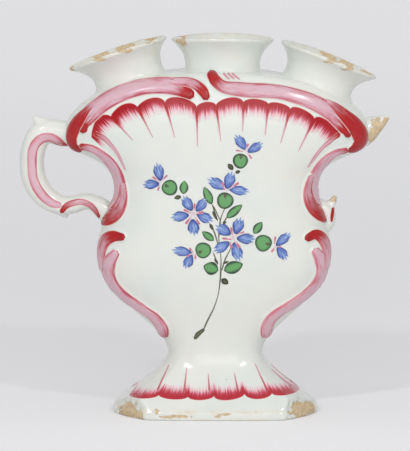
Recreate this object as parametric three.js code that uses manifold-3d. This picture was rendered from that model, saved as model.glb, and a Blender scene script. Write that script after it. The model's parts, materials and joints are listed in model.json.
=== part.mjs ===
// A three-necked faience flower vase: a flat, waisted body pressed in two moulds on a spreading
// eight-sided foot, with an arched shoulder that carries three trumpet necks. The left handle is
// whole and the right one is broken away to two stubs. Millimetres, +Z up, front face towards -Y.
import * as THREE from 'three';
import { mergeVertices } from 'three/addons/utils/BufferGeometryUtils.js';
import Module from 'manifold-3d';

const wasm = await Module();
wasm.setup();

// Clearance between luted pieces, and how far a cutting tool runs past what it cuts
const JOINT_GAP = 0.3;
const CUT_OVERRUN = 6;

// Foot: an eight-sided plinth, a sloping ledge above it and a flare up to the waist
const FOOT_HALF_WIDTH = 53.8;
const FOOT_HALF_DEPTH = 34;
const FOOT_CORNER_WIDTH = 15;
const FOOT_CORNER_DEPTH = 27;
const FOOT_HEIGHT = 33.5;
const PLINTH_HEIGHT = 4;
const LEDGE_RISE = 6.5;
const LEDGE_WIDTH = 8;
const LEDGE_DEPTH = 4.5;
const FLARE_CORNER_WIDTH = 5;
const FLARE_CORNER_DEPTH = 11;
const FLARE_POWER = 1.2;
const FOOT_WALL = 6.5;

// How squarely the foot keeps its eight corners, at the plinth and where the flare starts
const PLINTH_SQUARENESS = 0.5;
const FLARE_SQUARENESS = 0.75;
const FLARE_RISES = [0, 0.2, 0.4, 0.6, 0.8, 1];

// Body, from the waist on the foot up to the edge of the deck: half widths and depths, and the rise
// of each station over the one below it. The deck runs on past the axis of the right neck, and the
// shoulder hangs over the deck's end
const WAIST_HALF_WIDTH = 25;
const WAIST_HALF_DEPTH = 19;
const BELLY_RISE = 53.5;
const BELLY_HALF_WIDTH = 61.6;
const BELLY_HALF_DEPTH = 27.5;
const NIP_RISE = 32.5;
const NIP_HALF_WIDTH = 53.2;
const NIP_HALF_DEPTH = 28.5;
const SHOULDER_RISE = 27.5;
const SHOULDER_OVERHANG = 8.4;
const SHOULDER_HALF_DEPTH = 30;
const DECK_RISE = 16.6;
const DECK_END_WIDTH = 17.45;
const DECK_HALF_DEPTH = 20.5;
const BODY_WALL = 5.5;
const FLOOR_THICKNESS = 5;
const FLOOR_SEAT = 3;

// How far the middle of the shoulder and of the deck stands above their sides
const SHOULDER_ARCH = 10;
const DECK_ARCH = 18.2;
const DECK_CROWN = 0.7;

// Section and arch of the body are powers: 2 would be an ellipse, higher is squarer
const SECTION_POWER = 2.8;
const ARCH_POWER = 2.7;

// How far along its rise an outline runs on upright before it leaves or meets a station
const WAIST_PULL = 0.26;
const BELLY_PULL = 0.5;
const BELLY_UPPER_PULL = 0.36;
const NIP_PULL = 0.3;

// Necks: one upright and one leaning out on each side, with a gap between their lips
const NECK_THROAT_RADIUS = 19.7;
const NECK_BASE_RADIUS = 21.2;
const NECK_RIM_RADIUS = 26.8;
const NECK_BORE_RADIUS = 13.2;
const NECK_WALL = 4.2;
const NECK_THROAT_HEIGHT = 4.5;
const NECK_DEPTH_RATIO = 0.93;
const NECK_ROOT_DEPTH = 14;
const NECK_LEFT_HEIGHT = 14.6;
const NECK_MIDDLE_HEIGHT = 15.6;
const NECK_RIGHT_HEIGHT = 15.2;
const NECK_OFFSET = 3.7;
const LIP_GAP = 3;
const NECKS = [
	{ name: 'neck_left', side: -1, lean: 19.8, height: NECK_LEFT_HEIGHT },
	{ name: 'neck_middle', side: 0, lean: 0.8, height: NECK_MIDDLE_HEIGHT },
	{ name: 'neck_right', side: 1, lean: 18.6, height: NECK_RIGHT_HEIGHT },
];

// Moulded relief: a scroll's greatest half breadth, how far it stands proud and its root in the wall
const RELIEF_HALF_BREADTH = 5;
const RELIEF_HEIGHT = 1.8;
const RELIEF_ROOT = 4;

// Counts of facets
const SECTION_STEPS = 20;
const STATION_STEPS = 5;
const NECK_SIDES = 26;
const BAR_SIDES = 10;
const BOW_STEPS = 26;
const STUB_STEPS = 8;
const SPUR_STEPS = 4;
const SCROLL_EXTRA_STEPS = 3;

// Power of a handle's section: 1 would be an ellipse, lower is squarer
const BAR_SQUARENESS = 0.85;

const GLAZE = { color: 0xe7e9e4, roughness: 0.22, metalness: 0 };
const PAINTED_GLAZE = { color: 0xe3c4cb, roughness: 0.24, metalness: 0 };
const BARE_CLAY = { color: 0xdcc39c, roughness: 0.85, metalness: 0 };

const DEGREE = Math.PI / 180;

// Heights above the ground
const BELLY_HEIGHT = FOOT_HEIGHT + BELLY_RISE;
const NIP_HEIGHT = BELLY_HEIGHT + NIP_RISE;
const SHOULDER_HEIGHT = NIP_HEIGHT + SHOULDER_RISE;
const DECK_EDGE_HEIGHT = SHOULDER_HEIGHT + DECK_RISE;

// Place along the deck of a neck, its lip clear of the middle neck's
function neckPlace({ side, lean, height }) {
	const lipWidth = NECK_RIM_RADIUS * Math.cos(lean * DEGREE) - height * Math.sin(lean * DEGREE);
	return NECK_OFFSET + side * (NECK_RIM_RADIUS + LIP_GAP + lipWidth);
}

const DECK_HALF_WIDTH = Math.max(...NECKS.map(neckPlace)) + DECK_END_WIDTH;
const SHOULDER_HALF_WIDTH = DECK_HALF_WIDTH + SHOULDER_OVERHANG;

// Solids from closed grids of points

// Joins rings of equal length, and caps the first and the last one with a fan
function closedLoft(rings) {
	const sides = rings[0].length;
	const points = rings.flat();
	const index = [];
	for (let r = 0; r + 1 < rings.length; r += 1) {
		for (let i = 0; i < sides; i += 1) {
			const a = r * sides + i;
			const b = r * sides + (i + 1) % sides;
			index.push(a, b, b + sides, a, b + sides, a + sides);
		}
	}
	const middle = (ring) => ring.reduce((sum, p) => sum.add(p), new THREE.Vector3()).divideScalar(sides);
	const first = points.push(middle(rings[0])) - 1;
	const last = points.push(middle(rings[rings.length - 1])) - 1;
	const top = (rings.length - 1) * sides;
	for (let i = 0; i < sides; i += 1) {
		const next = (i + 1) % sides;
		index.push(first, next, i);
		index.push(last, top + i, top + next);
	}
	return indexed(points, index);
}

// A wall between two open grids of points, closed along all four of its edges
function wallBetween(outer, inner) {
	const columns = outer[0].length;
	const rows = outer.length;
	const points = [...outer.flat(), ...inner.flat()];
	const out = (r, i) => r * columns + i;
	const into = (r, i) => rows * columns + r * columns + i;
	const index = [];
	const quad = (a, b, c, d) => index.push(a, b, c, a, c, d);
	for (let r = 0; r + 1 < rows; r += 1) {
		for (let i = 0; i + 1 < columns; i += 1) {
			quad(out(r, i), out(r, i + 1), out(r + 1, i + 1), out(r + 1, i));
			quad(into(r, i + 1), into(r, i), into(r + 1, i), into(r + 1, i + 1));
		}
		quad(into(r, 0), out(r, 0), out(r + 1, 0), into(r + 1, 0));
		quad(out(r, columns - 1), into(r, columns - 1), into(r + 1, columns - 1), out(r + 1, columns - 1));
	}
	for (let i = 0; i + 1 < columns; i += 1) {
		quad(into(0, i), into(0, i + 1), out(0, i + 1), out(0, i));
		quad(out(rows - 1, i), out(rows - 1, i + 1), into(rows - 1, i + 1), into(rows - 1, i));
	}
	return indexed(points, index);
}

// Joins rings into a closed loop of rings, as the wall of a hollow piece is
function ringLoop(rings) {
	const sides = rings[0].length;
	const index = [];
	rings.forEach((_, r) => {
		const up = (r + 1) % rings.length;
		for (let i = 0; i < sides; i += 1) {
			const next = (i + 1) % sides;
			index.push(r * sides + i, r * sides + next, up * sides + next);
			index.push(r * sides + i, up * sides + next, up * sides + i);
		}
	});
	return indexed(rings.flat(), index);
}

function indexed(points, index) {
	const geometry = new THREE.BufferGeometry().setFromPoints(points);
	geometry.setIndex(index);
	return geometry;
}

// A solid with its faces pointing out, whichever way round its grid was laid
function solid(geometry) {
	const bare = geometry.clone();
	bare.deleteAttribute('normal');
	bare.deleteAttribute('uv');
	const merged = mergeVertices(bare, 1e-5);
	const vertProperties = new Float32Array(merged.attributes.position.array);
	const triVerts = new Uint32Array(merged.index.array);
	if (signedVolume(vertProperties, triVerts) < 0) {
		for (let t = 0; t < triVerts.length; t += 3) {
			[triVerts[t], triVerts[t + 1]] = [triVerts[t + 1], triVerts[t]];
		}
	}
	return new wasm.Manifold(new wasm.Mesh({ numProp: 3, vertProperties, triVerts }));
}

function signedVolume(position, triangles) {
	const [a, b, c] = [new THREE.Vector3(), new THREE.Vector3(), new THREE.Vector3()];
	let volume = 0;
	for (let t = 0; t < triangles.length; t += 3) {
		a.fromArray(position, 3 * triangles[t]);
		b.fromArray(position, 3 * triangles[t + 1]);
		c.fromArray(position, 3 * triangles[t + 2]);
		volume += a.dot(b.cross(c)) / 6;
	}
	return volume;
}

function fromManifold(manifold) {
	const mesh = manifold.getMesh();
	const geometry = new THREE.BufferGeometry();
	geometry.setAttribute('position', new THREE.BufferAttribute(new Float32Array(mesh.vertProperties), 3));
	geometry.setIndex(new THREE.BufferAttribute(new Uint32Array(mesh.triVerts), 1));
	geometry.computeVertexNormals();
	return geometry;
}

// Body surface

// Quarter of the body's section, one unit wide and deep, from the side to the front
class SectionCurve extends THREE.Curve {
	getPoint(t, target = new THREE.Vector3()) {
		const angle = t * Math.PI / 2;
		const x = Math.abs(Math.cos(angle)) ** (2 / SECTION_POWER);
		const y = Math.abs(Math.sin(angle)) ** (2 / SECTION_POWER);
		return target.set(x * BELLY_HALF_WIDTH, y * BELLY_HALF_DEPTH, 0);
	}
}

// Unit section points right round the body, evenly spaced along the belly
function unitSection() {
	const scale = new THREE.Vector3(1 / BELLY_HALF_WIDTH, 1 / BELLY_HALF_DEPTH, 0);
	const quarter = new SectionCurve().getSpacedPoints(SECTION_STEPS / 2).map((p) => p.multiply(scale));
	quarter[0].set(1, 0, 0);
	quarter[quarter.length - 1].set(0, 1, 0);
	const flipped = (points, x, y) => points.reverse().map((p) => new THREE.Vector3(x * p.x, y * p.y, 0));
	const half = [...quarter, ...flipped(quarter.slice(0, -1), -1, 1)];
	return [...half, ...flipped(half.slice(1, -1), 1, -1)];
}

const SECTION = unitSection();

const at = (width, height) => new THREE.Vector2(width, height);

// Part of an outline that leaves one point and meets the next upright
function swell(low, lowPull, highPull, high) {
	const rise = high.y - low.y;
	const lowHandle = at(low.x, low.y + lowPull * rise);
	const highHandle = at(high.x, high.y - highPull * rise);
	return new THREE.CubicBezierCurve(low, lowHandle, highHandle, high);
}

// Last part of an outline, which leaves the shoulder upright and rolls over onto the deck
function roll(shoulder, shoulderPull, deckHandle, deck) {
	const shoulderHandle = at(shoulder.x, shoulder.y + shoulderPull * (deck.y - shoulder.y));
	return new THREE.CubicBezierCurve(shoulder, shoulderHandle, deckHandle, deck);
}

// Outline of the body's side, as half width and height
function sideOutline() {
	const waist = at(WAIST_HALF_WIDTH, FOOT_HEIGHT);
	const belly = at(BELLY_HALF_WIDTH, BELLY_HEIGHT);
	const nip = at(NIP_HALF_WIDTH, NIP_HEIGHT);
	const shoulder = at(SHOULDER_HALF_WIDTH, SHOULDER_HEIGHT);
	const deck = at(DECK_HALF_WIDTH, DECK_EDGE_HEIGHT);
	const deckHandle = at(deck.x + 0.33 * DECK_RISE, deck.y - 0.33 * DECK_RISE);
	return [
		swell(waist, WAIST_PULL, BELLY_PULL, belly),
		swell(belly, BELLY_UPPER_PULL, NIP_PULL, nip),
		swell(nip, 0.68, 0.46, shoulder),
		roll(shoulder, 0.5, deckHandle, deck),
	];
}

// Outline of the body's front at its middle, as half depth and height
function frontOutline() {
	const waist = at(WAIST_HALF_DEPTH, FOOT_HEIGHT);
	const belly = at(BELLY_HALF_DEPTH, BELLY_HEIGHT);
	const nip = at(NIP_HALF_DEPTH, NIP_HEIGHT);
	const shoulder = at(SHOULDER_HALF_DEPTH, SHOULDER_HEIGHT + SHOULDER_ARCH);
	const deck = at(DECK_HALF_DEPTH, DECK_EDGE_HEIGHT + DECK_ARCH);
	const rise = deck.y - shoulder.y;
	const deckHandle = at(deck.x + 0.28 * rise, deck.y - 0.03 * rise);
	return [
		swell(waist, WAIST_PULL, BELLY_PULL, belly),
		swell(belly, BELLY_UPPER_PULL, NIP_PULL, nip),
		swell(nip, BELLY_UPPER_PULL, NIP_PULL, shoulder),
		roll(shoulder, 0.55, deckHandle, deck),
	];
}

const SIDE = sideOutline();
const FRONT = frontOutline();

// Side and front outlines at a station from 0 at the waist to 4 at the deck
function station(s) {
	const span = Math.min(Math.floor(s), SIDE.length - 1);
	const side = SIDE[span].getPoint(s - span);
	const front = FRONT[span].getPoint(s - span);
	return { halfWidth: side.x, sideHeight: side.y, halfDepth: front.x, middleHeight: front.y };
}

// Height of an arch that falls from the middle towards each side
function archHeight(ring, x) {
	const share = Math.min(Math.abs(x / ring.halfWidth), 1) ** ARCH_POWER;
	return ring.middleHeight + (ring.sideHeight - ring.middleHeight) * share;
}

function sectionRing(s) {
	const ring = station(s);
	return SECTION.map((p) => {
		const x = p.x * ring.halfWidth;
		return new THREE.Vector3(x, p.y * ring.halfDepth, archHeight(ring, x));
	});
}

const STATIONS = Array.from({ length: SIDE.length * STATION_STEPS + 1 }, (_, i) => i / STATION_STEPS);
const BODY_RINGS = STATIONS.map(sectionRing);

// Outward unit normals of the body's grid of rings
function ringNormals(rings) {
	return rings.map((ring, r) => ring.map((_, i) => {
		const along = rings[Math.min(r + 1, rings.length - 1)][i].clone().sub(rings[Math.max(r - 1, 0)][i]);
		const round = ring[(i + 1) % ring.length].clone().sub(ring[(i + ring.length - 1) % ring.length]);
		const normal = round.cross(along).normalize();
		if (r === 0) normal.setZ(0).normalize();
		return normal;
	}));
}

const BODY_NORMALS = ringNormals(BODY_RINGS);

// The body's rings moved out along their normals by a distance, or in when it is negative
function offsetRings(distance) {
	const moved = (p, normal) => p.clone().addScaledVector(normal, distance);
	return BODY_RINGS.map((ring, r) => ring.map((p, i) => moved(p, BODY_NORMALS[r][i])));
}

// A point of the front at a station and a share of the half width there
function frontPoint(s, share) {
	const ring = station(s);
	const x = share * ring.halfWidth;
	const depth = (1 - Math.min(Math.abs(share), 1) ** SECTION_POWER) ** (1 / SECTION_POWER);
	return new THREE.Vector3(x, -ring.halfDepth * depth, archHeight(ring, x));
}

function frontNormal(s, share) {
	const step = 0.01;
	const right = frontPoint(s, share + step).sub(frontPoint(s, share - step));
	const up = frontPoint(s + step, share).sub(frontPoint(s - step, share));
	return right.cross(up).normalize();
}

// Moulded scrolls

// Points of each scroll: station on the body, share of the half width there and share of the breadth
const SCROLLS = [
	[
		[3.42, -0.089, 0.64], [3.52, -0.142, 0.84], [3.52, -0.258, 0.86], [3.58, -0.442, 0.9],
		[3.55, -0.595, 0.96], [3.44, -0.729, 1], [3.28, -0.833, 1], [3.07, -0.902, 0.86],
		[2.91, -0.934, 0.64], [2.8, -0.938, 0.4],
	],
	[
		[3.66, -0.029, 0.52], [3.53, 0.039, 0.68], [3.47, 0.167, 0.76], [3.45, 0.307, 0.76],
		[3.46, 0.461, 0.8], [3.44, 0.601, 0.86], [3.38, 0.737, 0.96], [3.25, 0.844, 1],
		[3.07, 0.92, 0.92], [2.92, 0.95, 0.72], [2.78, 0.95, 0.44],
	],
	[
		[2.75, -0.899, 0.4], [2.61, -0.863, 0.56], [2.42, -0.875, 0.6], [2.17, -0.924, 0.64],
		[1.97, -0.921, 0.64], [1.71, -0.911, 0.6], [1.56, -0.925, 0.56], [1.5, -0.95, 0.48],
	],
	[
		[2.74, 0.906, 0.4], [2.61, 0.874, 0.56], [2.41, 0.893, 0.6], [2.17, 0.942, 0.64],
		[1.97, 0.939, 0.64], [1.71, 0.918, 0.6], [1.56, 0.936, 0.56], [1.5, 0.95, 0.48],
	],
	[
		[1.22, -0.822, 0.4], [1.21, -0.903, 0.56], [1.06, -0.927, 0.68], [0.92, -0.932, 0.76],
		[0.8, -0.944, 0.78], [0.68, -0.923, 0.78], [0.56, -0.861, 0.76], [0.47, -0.773, 0.72],
		[0.36, -0.777, 0.64], [0.24, -0.876, 0.48],
	],
	[
		[1.23, 0.82, 0.4], [1.21, 0.89, 0.56], [1.06, 0.917, 0.68], [0.92, 0.918, 0.76],
		[0.8, 0.927, 0.78], [0.68, 0.9, 0.78], [0.56, 0.84, 0.76], [0.47, 0.758, 0.72],
		[0.36, 0.771, 0.64], [0.23, 0.88, 0.48],
	],
];

// Section of a scroll: shares of its half breadth and of its height, down to its root in the wall
const SCROLL_SECTION = [[0.98, 0.1], [0.55, 0.9], [-0.55, 0.9], [-0.98, 0.1]];

// A scroll as a low rounded bar that follows the front, grown by a clearance where it only cuts
function scrollBar(run, clearance) {
	const path = new THREE.CatmullRomCurve3(run.map((point) => new THREE.Vector3(...point)));
	const steps = run.length + SCROLL_EXTRA_STEPS;
	const onFront = (t) => path.getPoint(THREE.MathUtils.clamp(t, 0, 1));
	const rings = Array.from({ length: steps + 1 }, (_, i) => {
		const [here, before, after] = [0, -0.3, 0.3].map((shift) => onFront((i + shift) / steps));
		const centre = frontPoint(here.x, here.y);
		const normal = frontNormal(here.x, here.y);
		const ahead = frontPoint(after.x, after.y).sub(frontPoint(before.x, before.y));
		const across = ahead.cross(normal).normalize();
		const corner = (side, lift) => {
			const reach = side * (here.z * RELIEF_HALF_BREADTH + clearance);
			const point = centre.clone().addScaledVector(across, reach).addScaledVector(normal, lift);
			return point.setY(Math.min(point.y, 2 * clearance - JOINT_GAP));
		};
		const crest = SCROLL_SECTION.map(([side, rise]) => corner(side, rise * RELIEF_HEIGHT + clearance));
		return [corner(1, -RELIEF_ROOT), ...crest, corner(-1, -RELIEF_ROOT)];
	});
	return solid(closedLoft(rings));
}

const mirrorDepth = (manifold) => manifold.mirror([0, 1, 0]);

function reliefOf(clearance) {
	const front = SCROLLS.map((run) => scrollBar(run, clearance)).reduce((all, bar) => all.add(bar));
	return { front, back: mirrorDepth(front) };
}

// Pressed front half of the body, from the waist to the deck, with its flat seam on y = 0
function frontHalf() {
	const first = SECTION.length / 2;
	const frontOf = (ring) => Array.from({ length: first + 1 }, (_, i) => {
		const point = ring[(first + i) % ring.length].clone();
		if (i === 0 || i === first) point.y = 0;
		return point;
	});
	const outside = BODY_RINGS.map(frontOf);
	const inside = offsetRings(-BODY_WALL).map(frontOf);
	inside[0].forEach((point) => point.setZ(FOOT_HEIGHT));
	return solid(wallBetween(outside, inside));
}

// Deck

// Rings that shrink from a rim ring to the middle of an arch, sunk below it by a drop
function archRings(rim, drop) {
	const ring = station(SIDE.length);
	return [0.7, 0.35].map((share) => rim.map((p) => {
		const x = p.x * share;
		const crown = DECK_CROWN * (1 - share * share);
		return new THREE.Vector3(x, p.y * share, archHeight(ring, x) + crown - drop);
	}));
}

function shrink(ring, gap) {
	return ring.map((p, i) => p.clone().sub(new THREE.Vector3(
		gap * Math.sign(p.x) * Math.abs(SECTION[i].x),
		gap * Math.sign(p.y) * Math.abs(SECTION[i].y),
		0,
	)));
}

// Arched slab that closes the shoulder between the upper edges of the two halves
function deckSlab() {
	const top = shrink(BODY_RINGS[BODY_RINGS.length - 1], JOINT_GAP);
	const bottom = shrink(offsetRings(-BODY_WALL).pop(), JOINT_GAP);
	const underside = archRings(bottom, BODY_WALL).reverse();
	return solid(closedLoft([...underside, bottom, top, ...archRings(top, 0)]));
}

// The whole outside of the body as one solid, grown by a clearance, to seat necks and handles on
function bodyEnvelope(clearance) {
	const rings = offsetRings(clearance);
	return solid(closedLoft([...rings, ...archRings(rings[rings.length - 1], -clearance)]));
}

// Necks

function placeOnDeck(neck) {
	const x = neckPlace(neck);
	const foot = new THREE.Vector3(x, 0, archHeight(station(SIDE.length), x) + DECK_CROWN);
	const tilt = (neck.side || 1) * neck.lean * DEGREE;
	const turn = new THREE.Quaternion().setFromAxisAngle(new THREE.Vector3(0, 1, 0), tilt);
	return new THREE.Matrix4().compose(foot, turn, new THREE.Vector3(1, NECK_DEPTH_RATIO, 1));
}

// Outer side of a neck from its root to its lip, as radius and height along its axis
function neckOutside(height) {
	const rise = height - NECK_THROAT_HEIGHT;
	const flare = new THREE.CubicBezierCurve(
		at(NECK_THROAT_RADIUS, NECK_THROAT_HEIGHT),
		at(NECK_THROAT_RADIUS, NECK_THROAT_HEIGHT + 0.45 * rise),
		at(NECK_THROAT_RADIUS + 0.7 * (NECK_RIM_RADIUS - NECK_THROAT_RADIUS), height - 0.22 * rise),
		at(NECK_RIM_RADIUS, height),
	);
	return [at(NECK_BASE_RADIUS, -NECK_ROOT_DEPTH), at(NECK_BASE_RADIUS, 0), ...flare.getPoints(5)];
}

// Inner side of a neck from its lip down to its bore
function neckInside(height) {
	const lip = NECK_RIM_RADIUS - 0.45 * NECK_WALL;
	const funnel = new THREE.CubicBezierCurve(
		at(lip, height + 0.1 * NECK_WALL),
		at(lip - NECK_WALL, height - 0.5 * NECK_WALL),
		at(NECK_BORE_RADIUS, NECK_THROAT_HEIGHT + NECK_WALL),
		at(NECK_BORE_RADIUS, 0),
	);
	return [...funnel.getPoints(4), at(NECK_BORE_RADIUS, -NECK_ROOT_DEPTH)];
}

function trumpet(neck) {
	const profile = [...neckOutside(neck.height), ...neckInside(neck.height)];
	const lathe = new THREE.LatheGeometry([...profile, profile[0]], NECK_SIDES);
	lathe.rotateX(Math.PI / 2);
	lathe.applyMatrix4(placeOnDeck(neck));
	return solid(lathe);
}

function boreTool(neck) {
	const reach = NECK_ROOT_DEPTH + CUT_OVERRUN;
	const bore = new THREE.CylinderGeometry(NECK_BORE_RADIUS, NECK_BORE_RADIUS, 2 * reach, NECK_SIDES);
	bore.rotateX(Math.PI / 2);
	bore.applyMatrix4(placeOnDeck(neck));
	return solid(bore);
}

// Foot

// Whole ring of points from the quarter that runs from its side to its front
function wholeRing(quarter) {
	const half = [...quarter, ...quarter.slice(0, -1).reverse().map(([x, y]) => [-x, y])];
	return [...half, ...half.slice(1, -1).reverse().map(([x, y]) => [x, -y])];
}

// Eight-sided plan, whose corners are cut off a rectangle of a half width and half depth
function footPlan({ halfWidth, halfDepth, cornerWidth, cornerDepth }) {
	const frontWidth = halfWidth - cornerWidth;
	const sideDepth = halfDepth - cornerDepth;
	return wholeRing([
		[halfWidth, 0],
		[halfWidth, sideDepth / 2],
		[halfWidth, sideDepth],
		[halfWidth - cornerWidth / 2, halfDepth - cornerDepth / 2],
		[frontWidth, halfDepth],
		[frontWidth * 2 / 3, halfDepth],
		[frontWidth / 3, halfDepth],
		[0, halfDepth],
	]);
}

// A ring of the foot, between its eight-sided plan when square is 1 and the waist's section at 0
function footRing(plan, square, z) {
	return footPlan(plan).map(([x, y]) => {
		const [across, deep] = [Math.abs(x / plan.halfWidth), Math.abs(y / plan.halfDepth)];
		const reach = (across ** SECTION_POWER + deep ** SECTION_POWER) ** (1 / SECTION_POWER);
		const round = new THREE.Vector3(x / reach, y / reach, 0);
		return new THREE.Vector3(x, y, 0).lerp(round, 1 - square).setZ(z);
	});
}

// Spreading side of the foot from the ledge up to a top, drawn in by a wall where it is the inside
function footFlare(wall, top) {
	const ledge = {
		halfWidth: FOOT_HALF_WIDTH - LEDGE_WIDTH - wall,
		halfDepth: FOOT_HALF_DEPTH - LEDGE_DEPTH - wall,
	};
	const ledgeHeight = PLINTH_HEIGHT + LEDGE_RISE;
	return FLARE_RISES.map((rise) => {
		const spread = (1 - rise) ** FLARE_POWER;
		const halfWidth = THREE.MathUtils.lerp(top.halfWidth, ledge.halfWidth, spread);
		const corner = halfWidth / (FOOT_HALF_WIDTH - LEDGE_WIDTH);
		const plan = {
			halfWidth,
			halfDepth: THREE.MathUtils.lerp(top.halfDepth, ledge.halfDepth, spread),
			cornerWidth: FLARE_CORNER_WIDTH * corner,
			cornerDepth: FLARE_CORNER_DEPTH * corner,
		};
		const z = THREE.MathUtils.lerp(ledgeHeight, FOOT_HEIGHT, rise);
		return footRing(plan, FLARE_SQUARENESS * (1 - rise), z);
	});
}

function footSolid() {
	const plan = {
		halfWidth: FOOT_HALF_WIDTH,
		halfDepth: FOOT_HALF_DEPTH,
		cornerWidth: FOOT_CORNER_WIDTH,
		cornerDepth: FOOT_CORNER_DEPTH,
	};
	const hollow = {
		halfWidth: FOOT_HALF_WIDTH - FOOT_WALL,
		halfDepth: FOOT_HALF_DEPTH - FOOT_WALL,
		cornerWidth: FOOT_CORNER_WIDTH,
		cornerDepth: FOOT_CORNER_DEPTH - FOOT_WALL,
	};
	const waist = { halfWidth: WAIST_HALF_WIDTH, halfDepth: WAIST_HALF_DEPTH };
	const seatWidth = BODY_WALL + JOINT_GAP + FLOOR_SEAT;
	const mouth = { halfWidth: WAIST_HALF_WIDTH - seatWidth, halfDepth: WAIST_HALF_DEPTH - seatWidth };
	const outside = [0, PLINTH_HEIGHT].map((z) => footRing(plan, PLINTH_SQUARENESS, z));
	const inside = [0, 0.4 * PLINTH_HEIGHT].map((z) => footRing(hollow, PLINTH_SQUARENESS, z));
	return solid(ringLoop([
		...outside,
		...footFlare(0, waist),
		...footFlare(FOOT_WALL, mouth).reverse(),
		...inside.reverse(),
	]));
}

// Floor of the body, resting on the foot round its mouth and clear of the two halves
function floorPlate() {
	const edge = offsetRings(-BODY_WALL - JOINT_GAP)[0];
	const ringAt = (z) => edge.map((p) => p.clone().setZ(z));
	return solid(closedLoft([ringAt(FOOT_HEIGHT), ringAt(FOOT_HEIGHT + FLOOR_THICKNESS)]));
}

// Handles

// Points of a handle: out from the nip and up from it, then half breadth and half depth, in mm
const HANDLE_BOW = [
	[17.3, 29.2, 7, 7.5], [26, 28.1, 6.8, 7.2], [33.9, 29.3, 6.6, 7], [39.2, 27.5, 6.5, 7],
	[42.1, 22.1, 6.5, 7], [43.6, 14.7, 6.5, 7], [43.1, 6.5, 6.5, 7], [40.2, -0.9, 6.3, 7],
	[35.1, -6.5, 5.9, 6.8], [28.8, -9.6, 5.3, 6.6], [21.8, -9.4, 4.8, 6.4], [15, -7.7, 4.4, 6.4],
	[8.4, -9.9, 4.8, 6.6], [2.2, -15.5, 6, 7],
];
const HANDLE_UPPER_SPUR = [
	[34.3, 30.5, 5, 5], [38.6, 33.5, 3.8, 4], [41.6, 36.2, 1.9, 2.4], [43.2, 37.3, 0.5, 0.8],
];
const HANDLE_LOWER_SPUR = [
	[29.8, -10.5, 4.4, 4.6], [27.3, -13.7, 2.8, 3.4], [25.3, -16.7, 0.6, 1],
];
const STUB_UPPER = [
	[14.8, 26.5, 8, 7.4], [22.3, 27.9, 7.6, 7.2], [26.4, 29.9, 6.4, 6.4], [29.8, 32.7, 4.2, 4.8],
	[33.1, 35.1, 2.1, 2.8], [36.4, 37.9, 0.5, 0.9],
];
const STUB_LOWER = [
	[-2.2, -2.5, 3.4, 5], [3.4, -7.3, 4.2, 6.2], [5.4, -12.5, 4.6, 6.6], [4.8, -18.5, 4.4, 6.4],
	[1.2, -23.9, 3.8, 5.6],
];

// A bar with a softly squared section through the points of a handle, on one side of the body
function bar(points, side, steps) {
	const middle = (out, up) => new THREE.Vector3(side * (NIP_HALF_WIDTH + out), 0, NIP_HEIGHT + up);
	const line = new THREE.CatmullRomCurve3(points.map(([out, up]) => middle(out, up)));
	const sizes = new THREE.CatmullRomCurve3(points.map(([, , ...size]) => new THREE.Vector3(...size, 0)));
	const squared = (value) => Math.sign(value) * Math.abs(value) ** BAR_SQUARENESS;
	const rings = Array.from({ length: steps + 1 }, (_, i) => {
		const along = line.getTangent(i / steps);
		const across = new THREE.Vector3(-along.z, 0, along.x);
		const size = sizes.getPoint(i / steps);
		return Array.from({ length: BAR_SIDES }, (__, k) => {
			const angle = 2 * Math.PI * k / BAR_SIDES;
			const reach = size.x * squared(Math.cos(angle));
			const point = line.getPoint(i / steps).addScaledVector(across, reach);
			return point.setY(size.y * squared(Math.sin(angle)));
		});
	});
	return solid(closedLoft(rings));
}

function leftHandle() {
	const spurs = [HANDLE_UPPER_SPUR, HANDLE_LOWER_SPUR].map((points) => bar(points, -1, SPUR_STEPS));
	return spurs.reduce((handle, spur) => handle.add(spur), bar(HANDLE_BOW, -1, BOW_STEPS));
}

// Assembly

const relief = reliefOf(0);
const reliefTool = reliefOf(JOINT_GAP);
const allRelief = reliefTool.front.add(reliefTool.back);
const seat = bodyEnvelope(JOINT_GAP).add(allRelief);
const front = frontHalf();
const vase = new THREE.Group();

function addPiece(name, manifold, finish) {
	const mesh = new THREE.Mesh(fromManifold(manifold), new THREE.MeshStandardMaterial(finish));
	mesh.name = name;
	vase.add(mesh);
	return mesh;
}

const boredDeck = NECKS.reduce((deck, neck) => deck.subtract(boreTool(neck)), deckSlab());

addPiece('foot', footSolid(), GLAZE);
addPiece('body_floor', floorPlate(), GLAZE);
addPiece('front_shell', front.add(relief.front), PAINTED_GLAZE);
addPiece('back_shell', mirrorDepth(front).add(relief.back), PAINTED_GLAZE);
addPiece('shoulder_deck', boredDeck.subtract(allRelief), GLAZE);
for (const neck of NECKS) addPiece(neck.name, trumpet(neck).subtract(seat), GLAZE);
addPiece('handle_left', leftHandle().subtract(seat), PAINTED_GLAZE);
addPiece('handle_stub_upper_right', bar(STUB_UPPER, 1, STUB_STEPS).subtract(seat), BARE_CLAY);
addPiece('handle_stub_lower_right', bar(STUB_LOWER, 1, STUB_STEPS).subtract(seat), BARE_CLAY);

// The origin is at the middle of the outline, below the foot
const outline = new THREE.Box3().setFromObject(vase);
vase.position.x = -(outline.min.x + outline.max.x) / 2;
vase.updateMatrixWorld(true);

export default vase;
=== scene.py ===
"""Three-necked faience flower vase: glazed clay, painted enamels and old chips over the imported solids."""

from __future__ import annotations

import json
import logging
import math
import random
from dataclasses import dataclass, field
from enum import Enum
from typing import Callable, Sequence

import bmesh
import bpy
import numpy as np
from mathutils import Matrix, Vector, noise
from mathutils.bvhtree import BVHTree

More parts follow.
